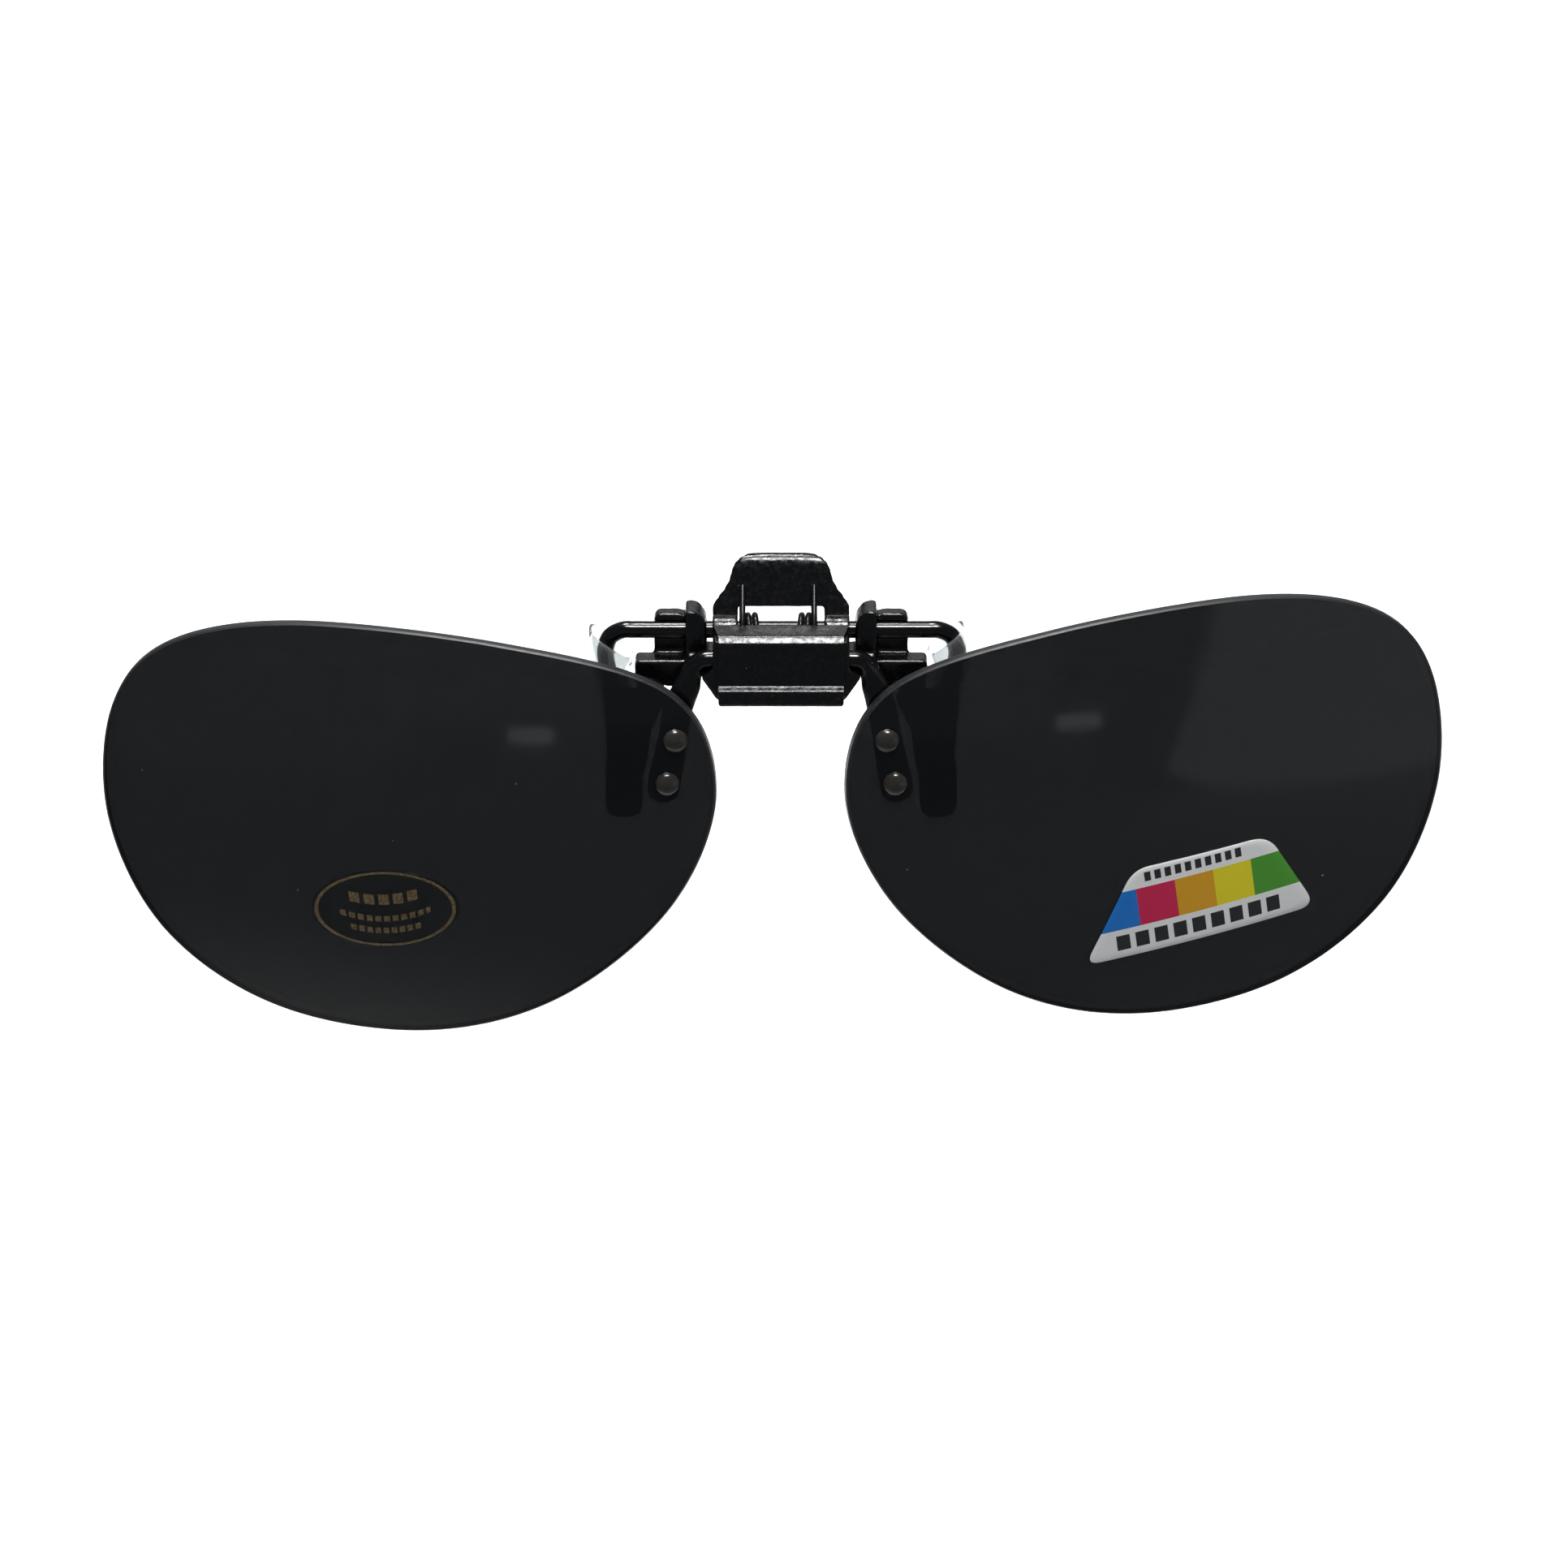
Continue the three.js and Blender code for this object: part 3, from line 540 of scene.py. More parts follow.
class Surface:
    """A material under construction: its node tree, its shader and its coordinates."""

    def __init__(self, name, **values):
        self.material = bpy.data.materials.new(name)
        self.material.use_nodes = True
        self.tree = self.material.node_tree
        self.shader = self.tree.nodes["Principled BSDF"]
        for socket, value in values.items():
            self.shader.inputs[socket.replace("_", " ")].default_value = value
        self.place = self.node("ShaderNodeTexCoord").outputs["Object"]

    def node(self, kind, settings=None, **links):
        made = self.tree.nodes.new(kind)
        for key, value in (settings or {}).items():
            setattr(made, key, value)
        for socket, value in links.items():
            self.feed(made.inputs[socket.replace("_", " ")], value)
        return made

    def feed(self, socket, value):
        if isinstance(value, bpy.types.NodeSocket):
            self.tree.links.new(value, socket)
        else:
            socket.default_value = value

    def noise(self, spacing, detail=2.0, roughness=0.5, stretch=None):
        """Noise whose lumps are spacing millimetres apart."""
        place = self.place
        if stretch:
            place = self.node("ShaderNodeMapping", Vector=place, Scale=stretch).outputs["Vector"]
        texture = self.node("ShaderNodeTexNoise", Vector=place, Scale=1 / (spacing * MM),
                            Detail=detail, Roughness=roughness)
        return texture.outputs["Fac"]

    def spread(self, value, from_low, from_high, to_low, to_high):
        spread = self.node("ShaderNodeMapRange", Value=value, From_Min=from_low, From_Max=from_high,
                           To_Min=to_low, To_Max=to_high)
        return spread.outputs["Result"]

    def maths(self, operation, *values):
        made = self.node("ShaderNodeMath", {"operation": operation})
        for socket, value in zip(made.inputs, values):
            self.feed(socket, value)
        return made.outputs[0]

    def within(self, value, low, high):
        above = self.maths("GREATER_THAN", value, low)
        return self.maths("MULTIPLY", above, self.maths("LESS_THAN", value, high))

    def mixed(self, share, first, second):
        made = self.node("ShaderNodeMix", {"data_type": "RGBA"})
        self.feed(made.inputs["Factor"], share)
        self.feed(made.inputs[6], first)
        self.feed(made.inputs[7], second)
        return made.outputs[2]

    def bump(self, height, strength, depth, under=None):
        """Relief of a depth in millimetres, over the relief under it."""
        made = self.node("ShaderNodeBump", Height=height, Strength=strength, Distance=depth * MM)
        if under:
            self.feed(made.inputs["Normal"], under)
        return made.outputs["Normal"]

    def specks(self, spacing, size, chance):
        """Rare small dots: 1 on a dot and 0 elsewhere."""
        cells = self.node("ShaderNodeTexVoronoi", Vector=self.place, Scale=1 / (spacing * MM))
        near = self.maths("LESS_THAN", cells.outputs["Distance"], size / spacing)
        pick = self.node("ShaderNodeSeparateColor", Color=cells.outputs["Color"]).outputs[0]
        return self.maths("MULTIPLY", near, self.maths("GREATER_THAN", pick, 1 - chance))

    def use(self, **links):
        for socket, value in links.items():
            self.feed(self.shader.inputs[socket.replace("_", " ")], value)
        return self.material


def rgba(colour):
    return (*colour[:3], 1.0)


MATERIALS = {}


def finish(name):
    """The material of that name, made the first time it is asked for."""
    if name not in MATERIALS:
        MATERIALS[name] = FINISHES[name]()
    return MATERIALS[name]


def enamel(name, roughest, smoothest, grain_depth):
    """Black paint over rough metal: orange peel, fine grain and a few specks of dust."""
    surface = Surface(name, IOR=1.5, Specular_IOR_Level=0.5)
    lumps = surface.noise(0.75, 2.0)
    grain = surface.noise(0.2, 3.0, 0.6)
    relief = surface.bump(lumps, 0.5, 0.016)
    relief = surface.bump(grain, 0.75, grain_depth, relief)
    dust = surface.specks(0.8, 0.04, 0.3)
    paint = rgba(colours().enamel)
    thin = tuple(2.2 * part for part in paint[:3]) + (1.0,)
    worn = surface.spread(surface.noise(0.35, 4.0, 0.65), 0.55, 0.75, 0.0, 1.0)
    colour = surface.mixed(worn, paint, thin)
    return surface.use(
        Base_Color=surface.mixed(dust, colour, (0.3, 0.3, 0.29, 1)),
        Roughness=surface.spread(surface.noise(0.4, 3.0), 0.35, 0.65, smoothest, roughest),
        Normal=relief)


def cast_enamel():
    return enamel("cast_enamel", 0.34, 0.12, 0.015)


def sheet_enamel():
    return enamel("sheet_enamel", 0.34, 0.12, 0.013)


def wire_enamel():
    """Thinner, glossier paint on the wire."""
    return enamel("wire_enamel", 0.2, 0.1, 0.005)


def lens_grey():
    """Polished dark plastic with faint smears and a little dust."""
    surface = Surface("lens_grey", IOR=1.5, Alpha=colours().lens_cover)
    smears = surface.noise(9.0, 3.0, 0.6, (1.0, 1.0, 2.2))
    wave = surface.bump(surface.noise(14.0, 1.0), 0.25, 0.02)
    dust = surface.maths("MAXIMUM", surface.specks(6.0, 0.1, 0.35), surface.specks(3.1, 0.05, 0.25))
    body = surface.mixed(dust, rgba(colours().lens), (0.42, 0.42, 0.42, 1))
    return surface.use(
        Base_Color=body,
        Roughness=surface.spread(smears, 0.3, 0.7, 0.035, 0.1),
        Normal=wave)


def ground_edge():
    """The ground rim of a lens, duller and paler than its faces."""
    surface = Surface("ground_edge", IOR=1.5)
    scratches = surface.noise(0.3, 4.0, 0.7)
    return surface.use(
        Base_Color=surface.mixed(scratches, (0.006, 0.0065, 0.0075, 1), (0.035, 0.036, 0.038, 1)),
        Roughness=surface.spread(scratches, 0.3, 0.7, 0.3, 0.5),
        Normal=surface.bump(scratches, 0.4, 0.01))


def black_vinyl():
    surface = Surface("black_vinyl", IOR=1.47)
    grain = surface.noise(0.12, 3.0, 0.6)
    drag = surface.noise(0.9, 2.0, 0.5, (1.0, 1.0, 0.25))
    return surface.use(
        Base_Color=surface.mixed(drag, rgba(colours().black_vinyl), (0.014, 0.014, 0.015, 1)),
        Roughness=surface.spread(drag, 0.3, 0.7, 0.42, 0.6),
        Normal=surface.bump(grain, 0.4, 0.006, surface.bump(drag, 0.2, 0.012)))


def clear_vinyl():
    """Clear soft vinyl, with draw lines and a slight bloom."""
    surface = Surface("clear_vinyl", IOR=1.1, Transmission_Weight=0.86,
                      Specular_IOR_Level=1.0)
    streaks = surface.noise(0.35, 3.0, 0.6, (1.0, 1.0, 0.12))
    bloom = surface.noise(1.1, 2.0)
    return surface.use(
        Base_Color=surface.mixed(bloom, rgba(colours().clear_vinyl), (0.78, 0.81, 0.82, 1)),
        Roughness=surface.spread(streaks, 0.35, 0.65, 0.03, 0.15),
        Normal=surface.bump(streaks, 0.4, 0.02))


def spring_steel():
    surface = Surface("spring_steel", Metallic=0.85)
    draw = surface.noise(0.12, 3.0, 0.6)
    return surface.use(
        Base_Color=surface.mixed(draw, (0.012, 0.012, 0.013, 1), (0.035, 0.035, 0.037, 1)),
        Roughness=surface.spread(draw, 0.3, 0.7, 0.22, 0.38),
        Normal=surface.bump(draw, 0.4, 0.004))


def smoky_nylon():
    """Smoke-coloured nylon, a little cloudy inside."""
    surface = Surface("smoky_nylon", IOR=1.53, Subsurface_Weight=0.25, Subsurface_Scale=0.0006)
    surface.shader.inputs["Subsurface Radius"].default_value = (1.0, 0.9, 0.7)
    cloud = surface.noise(0.6, 3.0, 0.6)
    pits = surface.noise(0.14, 2.0)
    return surface.use(
        Base_Color=surface.mixed(cloud, rgba(colours().nylon), (0.022, 0.021, 0.019, 1)),
        Roughness=surface.spread(cloud, 0.3, 0.7, 0.12, 0.26),
        Normal=surface.bump(pits, 0.5, 0.006))


def label_place(surface, scale):
    """The label's own map, in millimetres from its middle, as two sockets."""
    mapped = surface.node("ShaderNodeUVMap", {"uv_map": "label"}).outputs["UV"]
    centred = surface.node("ShaderNodeMapping", Vector=mapped, Location=(-scale / 2, -scale / 2, 0),
                           Scale=(scale, scale, 1)).outputs["Vector"]
    parts = surface.node("ShaderNodeSeparateXYZ", Vector=centred)
    return parts.outputs["X"], parts.outputs["Y"]


def bars(surface, across, up, rows):
    """Rows of plain dashes in place of print: (low, high, left, right, pitch, filled share)."""
    total = None
    for low, high, left, right, pitch, share in rows:
        along = surface.maths("DIVIDE", surface.maths("SUBTRACT", across, left), pitch)
        dash = surface.maths("LESS_THAN", surface.maths("FRACT", along), share)
        inside = surface.maths(
            "MULTIPLY", surface.within(up, low, high), surface.within(across, left, right))
        row = surface.maths("MULTIPLY", dash, inside)
        total = surface.maths("MAXIMUM", total, row) if total else row
    return total


LABEL_SPAN = 30.0
OVAL_HALF_WIDTH = 7.4
OVAL_HALF_HEIGHT = 4.25
OVAL_RING_INSIDE = 0.815
OVAL_RING_OUTSIDE = 0.905


def oval_film():
    """Clear film with a bronze ring and plain bronze bars."""
    surface = Surface("oval_film", IOR=1.5)
    across, up = label_place(surface, LABEL_SPAN)
    along = surface.maths("DIVIDE", across, OVAL_HALF_WIDTH)
    tall = surface.maths("DIVIDE", up, OVAL_HALF_HEIGHT)
    along, tall = (surface.maths("MULTIPLY", share, share) for share in (along, tall))
    ring = surface.within(surface.maths("ADD", along, tall), OVAL_RING_INSIDE, OVAL_RING_OUTSIDE)
    sag = surface.maths("MULTIPLY", surface.maths("MULTIPLY", across, across), 0.045)
    dropped = surface.maths("SUBTRACT", up, sag)
    rows = [
        (0.5, 1.6, -3.4, 3.4, 1.45, 0.7),
        (-1.35, -0.75, -4.5, 4.5, 0.86, 0.66),
        (-2.65, -2.05, -3.6, 3.6, 0.8, 0.66),
    ]
    ink = surface.maths("MAXIMUM", ring, bars(surface, across, dropped, rows))
    wear = surface.spread(surface.noise(0.25, 3.0, 0.7), 0.3, 0.62, 0.45, 1.0)
    printed = surface.maths("MULTIPLY", ink, wear)
    film = rgba(colours().lens)
    opacity = surface.spread(printed, 0.0, 1.0, 0.14, 1.0)
    return surface.use(
        Base_Color=surface.mixed(printed, film, rgba(colours().bronze)),
        Roughness=surface.spread(surface.noise(1.5, 2.0), 0.3, 0.7, 0.12, 0.3),
        Alpha=opacity,
        Normal=surface.bump(printed, 0.3, 0.01))


def band_film():
    """White film with five plain blocks of colour and plain dark bars."""
    surface = Surface("band_film", IOR=1.5)
    across, up = label_place(surface, LABEL_SPAN)
    blocks = [
        (-3.6, (0.012, 0.18, 0.6, 1)), (0.35, (0.62, 0.018, 0.085, 1)), (4.3, (0.72, 0.36, 0.016, 1)),
        (8.25, (0.8, 0.7, 0.02, 1)), (30.0, (0.075, 0.33, 0.03, 1)),
    ]
    colour = blocks[-1][1]
    for right, ink in reversed(blocks[:-1]):
        colour = surface.mixed(surface.maths("LESS_THAN", across, right - 2.4), colour, ink)
    band = surface.within(up, -1.95, 2.15)
    dark = bars(surface, across, up, [
        (2.75, 3.75, -5.0, 5.4, 1.04, 0.62),
        (-4.25, -2.6, -8.6, 8.8, 1.94, 0.7),
    ])
    fibre = surface.noise(0.2, 3.0, 0.6)
    white = surface.mixed(fibre, rgba(colours().label_white), (0.8, 0.8, 0.79, 1))
    printed = surface.mixed(dark, surface.mixed(band, white, colour), (0.02, 0.02, 0.022, 1))
    return surface.use(
        Base_Color=printed,
        Roughness=surface.spread(fibre, 0.3, 0.7, 0.3, 0.45),
        Normal=surface.bump(fibre, 0.3, 0.006))


def pale_floor():
    surface = Surface("pale_floor")
    mottle = surface.noise(60.0, 3.0, 0.6)
    shade = tuple(0.985 * part for part in colours().floor) + (1.0,)
    return surface.use(
        Base_Color=surface.mixed(mottle, rgba(colours().floor), shade),
        Roughness=surface.spread(mottle, 0.3, 0.7, 0.55, 0.7))


FINISHES = {make.__name__: make for make in (
    cast_enamel, sheet_enamel, wire_enamel, lens_grey, ground_edge, black_vinyl, clear_vinyl,
    spring_steel, smoky_nylon, oval_film, band_film, pale_floor,
)}


# ------------------------------------------------------------------ pieces

def on_lever(x, behind, up):
    """A point given from the axle, behind and up along the leaning lever."""
    return Vector((x, AXLE.y + behind * math.cos(LEVER_LEAN) + up * math.sin(LEVER_LEAN),
                   AXLE.z + up * math.cos(LEVER_LEAN) - behind * math.sin(LEVER_LEAN)))


class FLIPLENS_OT_hinge_cover(bpy.types.Operator):
    """Folded sheet in front of the hinge box, with a chamfer above and a heavier lip below"""
    bl_idname = "fliplens.hinge_cover"
    bl_label = "Hinge Cover"
    bl_options = {"REGISTER", "UNDO"}

    FLANGE_FLARE = 0.075
    FLANGE_FRONT_Y = -1.35
    FLANGE_DEPTH = 2.55
    LIP_TAPER = 0.05
    LIP_TAPER_Z = -3.7
    LIP_TAPER_HEIGHT = 0.65
    LENGTHWISE_CUTS = 95

    def execute(self, context):
        corners = [
            (1.2, 2.7, 0.08), (-1.35, 2.7, 0.16), (-2.0, 2.1, 0.18), (-2.0, -2.25, 0.1),
            (-2.22, -2.42, 0.1), (-2.6, -2.68, 0.2), (-2.6, -4.1, 0.3), (-2.3, -4.35, 0.22),
            (-1.35, -4.35, 0.12),
            (-1.35, 1.9, 0.12), (-1.2, 2.1, 0.1), (1.2, 2.1, 0.08),
        ]
        bm = plate(corners, "YZ", -COVER_HALF_WIDTH, COVER_HALF_WIDTH)
        long_edges = [edge for edge in bm.edges if abs((edge.verts[0].co - edge.verts[1].co).x) > 1]
        bmesh.ops.subdivide_edges(bm, edges=long_edges, cuts=self.LENGTHWISE_CUTS, use_grid_fill=True)
        ends = [edge for edge in bm.edges
                if all(abs(abs(vert.co.x) - COVER_HALF_WIDTH) < 1e-4 for vert in edge.verts)]
        bmesh.ops.bevel(bm, geom=ends, offset=0.1, segments=3, profile=0.5, affect="EDGES",
                        clamp_overlap=True, material=-1)
        for vert in bm.verts:
            behind = min(max((vert.co.y - self.FLANGE_FRONT_Y) / self.FLANGE_DEPTH, 0), 1)
            below = max((self.LIP_TAPER_Z - vert.co.z) / self.LIP_TAPER_HEIGHT, 0)
            vert.co.x *= 1 + self.FLANGE_FLARE * behind - self.LIP_TAPER * below ** 2
        uneven(bm, 0.7 * sizes().paint_lumps / MM, 0.8)
        finish_piece(bm, "cover_sheet", "base", ["hinge_cover"],
                     [finish("sheet_enamel")])
        return {"FINISHED"}


class FLIPLENS_OT_clip_base(bpy.types.Operator):
    """One casting: bearing block with a flared foot, two ears, two shelves and two blocks"""
    bl_idname = "fliplens.clip_base"
    bl_label = "Clip Base"
    bl_options = {"REGISTER", "UNDO"}

    PLAY = 0.09
    POCKET_FLOOR_Y = -0.72

    def execute(self, context):
        lens_bore = sizes().lens_wire_radius / MM + self.PLAY
        axle_bore = sizes().jaw_wire_radius / MM + self.PLAY
        right = [(6.55, 2.05, 0.4), (6.6, -1.0, 0.3), (7.75, -1.75, 0.25), (6.1, -4.3, 0.4)]
        outline = [*right, *reversed(mirrored(right, -1))]
        web = [(9.1, -0.5, 0.2), (9.1, -2.6, 0.2), (-9.1, -2.6, 0.2), (-9.1, -0.5, 0.2)]
        pocket = [(4.5, 1.6, 0), (4.5, -2.3, 0), (-4.5, -2.3, 0), (-4.5, 1.6, 0)]
        shells = [
            plate(outline, "XZ", -1.25, 1.3, 0.15),
            plate(web, "XZ", 1.15, 4.6, 0.15),
        ]
        cutters = [
            rod(lens_bore, -10, 10, 0, FLIP_AXIS_Z),
            rod(axle_bore, -20.3, 20.7, AXLE.y + 0.003, AXLE.z + 0.002),
            plate(pocket, "XZ", -2, self.POCKET_FLOOR_Y),
        ]
        for side in (-1, 1):
            ear = [(7.15, -2.5, 0.1), (9.2, -2.5, 0.2), (9.2, 3.9, 0.25), (8.0, 3.9, 0.55),
                   (7.15, 2.6, 0.5)]
            shelf = [(8.8, -3.8, 0.2), (11.3, -3.8, 0.3), (12.4, -3.0, 0.3), (14.1, -3.0, 0.35),
                     (14.1, -1.05, 0.5), (8.8, -1.05, 0.1)]
            block = [(8.8, -2.6, 0.1), (12.25, -2.6, 0.2), (12.25, 3.0, 0.75), (9.3, 3.0, 0.6),
                     (8.8, 2.0, 0.1)]
            shells += [
                plate(mirrored(ear, side), "XZ", 1.5, 4.55, 0.22),
                plate(mirrored(shelf, side), "XZ", 1.1, 3.3, 0.25),
                plate(mirrored(block, side), "XZ", 3.1, 4.6, 0.4),
            ]
            slot = [(10.8, -2.0, 0), (14.4, -2.0, 0), (14.4, -4.2, 0), (10.8, -4.2, 0)]
            cutters.append(plate(mirrored(slot, side), "XZ", 1.38, 2.22))
        bm = cast(shells, cutters, sizes().cast_grain / MM)
        uneven(bm, sizes().paint_lumps / MM, 0.7)
        finish_piece(bm, "clip_casting", "base", ["base_bracket"],
                     [finish("cast_enamel")], sharp=math.pi)
        return {"FINISHED"}


class FLIPLENS_OT_springs(bpy.types.Operator):
    """Double torsion spring on the lever's axle, and the leaf spring inside the hinge box"""
    bl_idname = "fliplens.springs"
    bl_label = "Springs"
    bl_options = {"REGISTER", "UNDO"}

    TURNS = 2
    STEPS_PER_TURN = 28
    COIL_RADIUS = 1.4
    PITCH = 0.68
    LEG_X = -3.45
    SHIFT_X = -0.27
    BEND_FROM = 1.3
    BEND_TO = 2.9
    LEAF_STEPS = 10
    LEAF_RISE = 0.19
    LEAF_Y = -1.14
    LEAF_BOW = 0.25

    def half_route(self):
        route = [on_lever(self.LEG_X, 0.45 - 0.55 * k / 8, 4.2 - 1.2 * k / 8) for k in range(8)]
        route += [on_lever(self.LEG_X, -0.1 - 0.65 * k / 8, 3.0 - 1.4 * k / 8) for k in range(7)]
        for step in range(self.TURNS * self.STEPS_PER_TURN + 1):
            turns = step / self.STEPS_PER_TURN
            angle = math.pi - LEVER_LEAN + 2 * math.pi * turns
            route.append(Vector((self.LEG_X + self.PITCH * turns,
                                 AXLE.y + self.COIL_RADIUS * math.cos(angle),
                                 AXLE.z + self.COIL_RADIUS * math.sin(angle))))
        coil_front = AXLE.y - self.COIL_RADIUS
        corner = Vector((self.LEG_X + self.PITCH * self.TURNS + 0.12, coil_front + 0.04, 1.05))
        bridge = Vector((-1.7, coil_front + 0.07, 0.9))
        return [*route, corner, bridge]

    def execute(self, context):
        half = self.half_route()
        other = [Vector((-point.x, point.y, point.z)) for point in reversed(half)]
        radius = sizes().spring_wire_radius / MM
        shift = Vector((self.SHIFT_X, 0, 0))
        stations = [(point + shift, radius, radius, 2) for point in half + other]
        bm = bmesh.new()
        sweep(bm, stations, thick=X_AXIS, sides=14)
        finish_piece(bm, "return_spring", "base", ["torsion_spring"],
                     [finish("spring_steel")],
                     bend=("lever", on_lever(0, 0, self.BEND_FROM), on_lever(0, 0, self.BEND_TO)))
        bm = bmesh.new()
        leaf = []
        for k in range(-self.LEAF_STEPS, self.LEAF_STEPS + 1):
            bow = self.LEAF_BOW * math.cos(math.pi / 2 * k / self.LEAF_STEPS) ** 2
            point = Vector((0, self.LEAF_Y + bow, FLIP_AXIS_Z + self.LEAF_RISE * k))
            leaf.append((point, 4.35, 0.06, 6, Z_AXIS))
        sweep(bm, leaf, sides=32)
        finish_piece(bm, "leaf_spring", "base", ["detent_spring"],
                     [finish("spring_steel")])
        return {"FINISHED"}


class FLIPLENS_OT_thumb_lever(bpy.types.Operator):
    """Folded sheet that leans back from the axle, rolled round it at both ends"""
    bl_idname = "fliplens.thumb_lever"
    bl_label = "Thumb Lever"
    bl_options = {"REGISTER", "UNDO"}

    HALF_SHEET = 0.3
    SHEET_BEHIND = 1.16
    ROLL_RADIUS = 1.17
    ROLL_ANGLE = math.radians(312)
    ARM_X = 5.375
    ARM_HALF_WIDTH = 1.22
    GRAIN_SHARE = 0.9

    def sheet(self):
        profile = [
            (1.16, 2.2, 6.6, 8), (1.16, 2.6, 6.42, 8), (1.16, 3.2, 6.0, 7), (1.16, 4.0, 5.4, 7),
            (1.16, 4.8, 4.98, 6), (1.16, 5.7, 4.76, 6), (1.2, 6.3, 4.5, 5), (1.34, 6.75, 4.1, 5),
            (1.6, 7.05, 3.5, 4), (1.95, 7.1, 2.95, 4),
        ]
        knots = [(on_lever(0, behind, up), wide, self.HALF_SHEET, square)
                 for behind, up, wide, square in profile]
        bm = bmesh.new()
        sweep(bm, smooth_route(knots, 5), sides=96)
        return bm

    def arm(self, side):
        points = []
        steps = 40
        for step in range(steps + 1):
            angle = self.ROLL_ANGLE * (step / steps - 1)
            points.append(on_lever(side * self.ARM_X, self.ROLL_RADIUS * math.cos(angle),
                                   self.ROLL_RADIUS * math.sin(angle)))
        points += [on_lever(side * self.ARM_X, self.SHEET_BEHIND, up) for up in (0.6, 1.2, 1.8, 2.35)]
        stations = [(point, self.ARM_HALF_WIDTH, self.HALF_SHEET - 0.01, 10) for point in points]
        bm = bmesh.new()
        sweep(bm, stations, sides=48)
        return bm

    def execute(self, context):
        shells = [self.sheet(), self.arm(-1), self.arm(1)]
        bm = cast(shells, [], self.GRAIN_SHARE * sizes().cast_grain / MM)
        uneven(bm, 0.8 * sizes().paint_lumps / MM, 0.8)
        finish_piece(bm, "lever_sheet", "lever", ["thumb_lever"],
                     [finish("sheet_enamel")], sharp=math.pi)
        return {"FINISHED"}


class FLIPLENS_OT_jaw_wire(bpy.types.Operator):
    """The lever's axle, bent down at both ends into the flattened rear jaws"""
    bl_idname = "fliplens.jaw_wire"
    bl_label = "Jaw Wire"
    bl_options = {"REGISTER", "UNDO"}

    def half(self, side):
        radius = sizes().jaw_wire_radius / MM
        knots = [
            ((14.2, AXLE.y, AXLE.z), radius, radius, 2),
            ((15.2, AXLE.y, AXLE.z - 0.02), radius, radius, 2),
            ((16.4, AXLE.y + 0.02, AXLE.z - 0.66), radius, radius, 2),
            ((16.95, AXLE.y + 0.12, AXLE.z - 2.1), radius, radius, 2),
            ((16.7, AXLE.y + 0.4, AXLE.z - 4.6), radius, 0.8, 2),
            ((15.95, REAR_JAW_Y, -6.6), 0.95, 0.62, 2.6), ((15.42, REAR_JAW_Y, -9.0), 1.2, 0.5, 4),
            ((15.28, REAR_JAW_Y, -12.0), 1.26, 0.48, 5), ((15.22, REAR_JAW_Y, -15.6), 1.27, 0.48, 5),
        ]
        knots = [((side * x, y, z), *section) for (x, y, z), *section in knots]
        route = smooth_route(knots, 7)
        return route + rounded_end(route[-1], -Z_AXIS, 1.15)

    def execute(self, context):
        left, right = ([(point, *rest[:3]) for point, *rest in self.half(side)] for side in (-1, 1))
        bm = bmesh.new()
        sweep(bm, [*reversed(left), *right])
        finish_piece(bm, "axle_and_jaws", "lever", ["jaw_wire"],
                     [finish("wire_enamel")])
        return {"FINISHED"}


class FLIPLENS_OT_lens_wire(bpy.types.Operator):
    """Bent wire that turns in the hinge box, flattened behind each lens"""
    bl_idname = "fliplens.lens_wire"
    bl_label = "Lens Wire"
    bl_options = {"REGISTER", "UNDO"}

    def arm(self, hand):
        lens = FRAMES[hand]
        radius = sizes().lens_wire_radius / MM
        depth = PLATE_FRONT + PLATE_THICKNESS / 2

        def behind_lens(place, up, inset=0.0):
            return lens.rivet(place) @ Vector((0, depth + inset, up))

        def bend(x, y, drop):
            return Vector((lens.side * x, y, FLIP_AXIS_Z - drop))

        knots = [
            (bend(6.0, 0, 0), radius, radius, 2), (bend(6.8, 0, 0), radius, radius, 2),
            (bend(7.5, 0, 0.08), radius, radius, 2), (bend(8.15, 0.01, 0.58), 0.96, 0.86, 2),
            (bend(8.62, 0.0, 1.45), 1.08, 0.78, 2.2), (bend(9.1, -0.18, 2.9), 1.32, 0.62, 2.8),
            (behind_lens("upper", 2.7, 0.1), 1.42, 0.5, 4), (behind_lens("upper", 0), 1.4, 0.45, 5),
            (behind_lens("lower", 0), 1.58, 0.45, 5), (behind_lens("lower", -1.2), 1.58, 0.45, 5),
        ]
        route = smooth_route(knots, 7)
        down = (route[-1][0] - route[-2][0]).normalized()
        return route + rounded_end(route[-1], down, 1.35)

    def execute(self, context):
        left = [(point, *rest[:3]) for point, *rest in reversed(self.arm("left"))]
        right = [(point, *rest[:3]) for point, *rest in self.arm("right")]
        middle = (Vector((0, 0, FLIP_AXIS_Z)), *right[0][1:])
        bm = bmesh.new()
        sweep(bm, [*left, middle, *right])
        finish_piece(bm, "lens_carrier", "lenses", ["lens_wire"],
                     [finish("wire_enamel")])
        return {"FINISHED"}


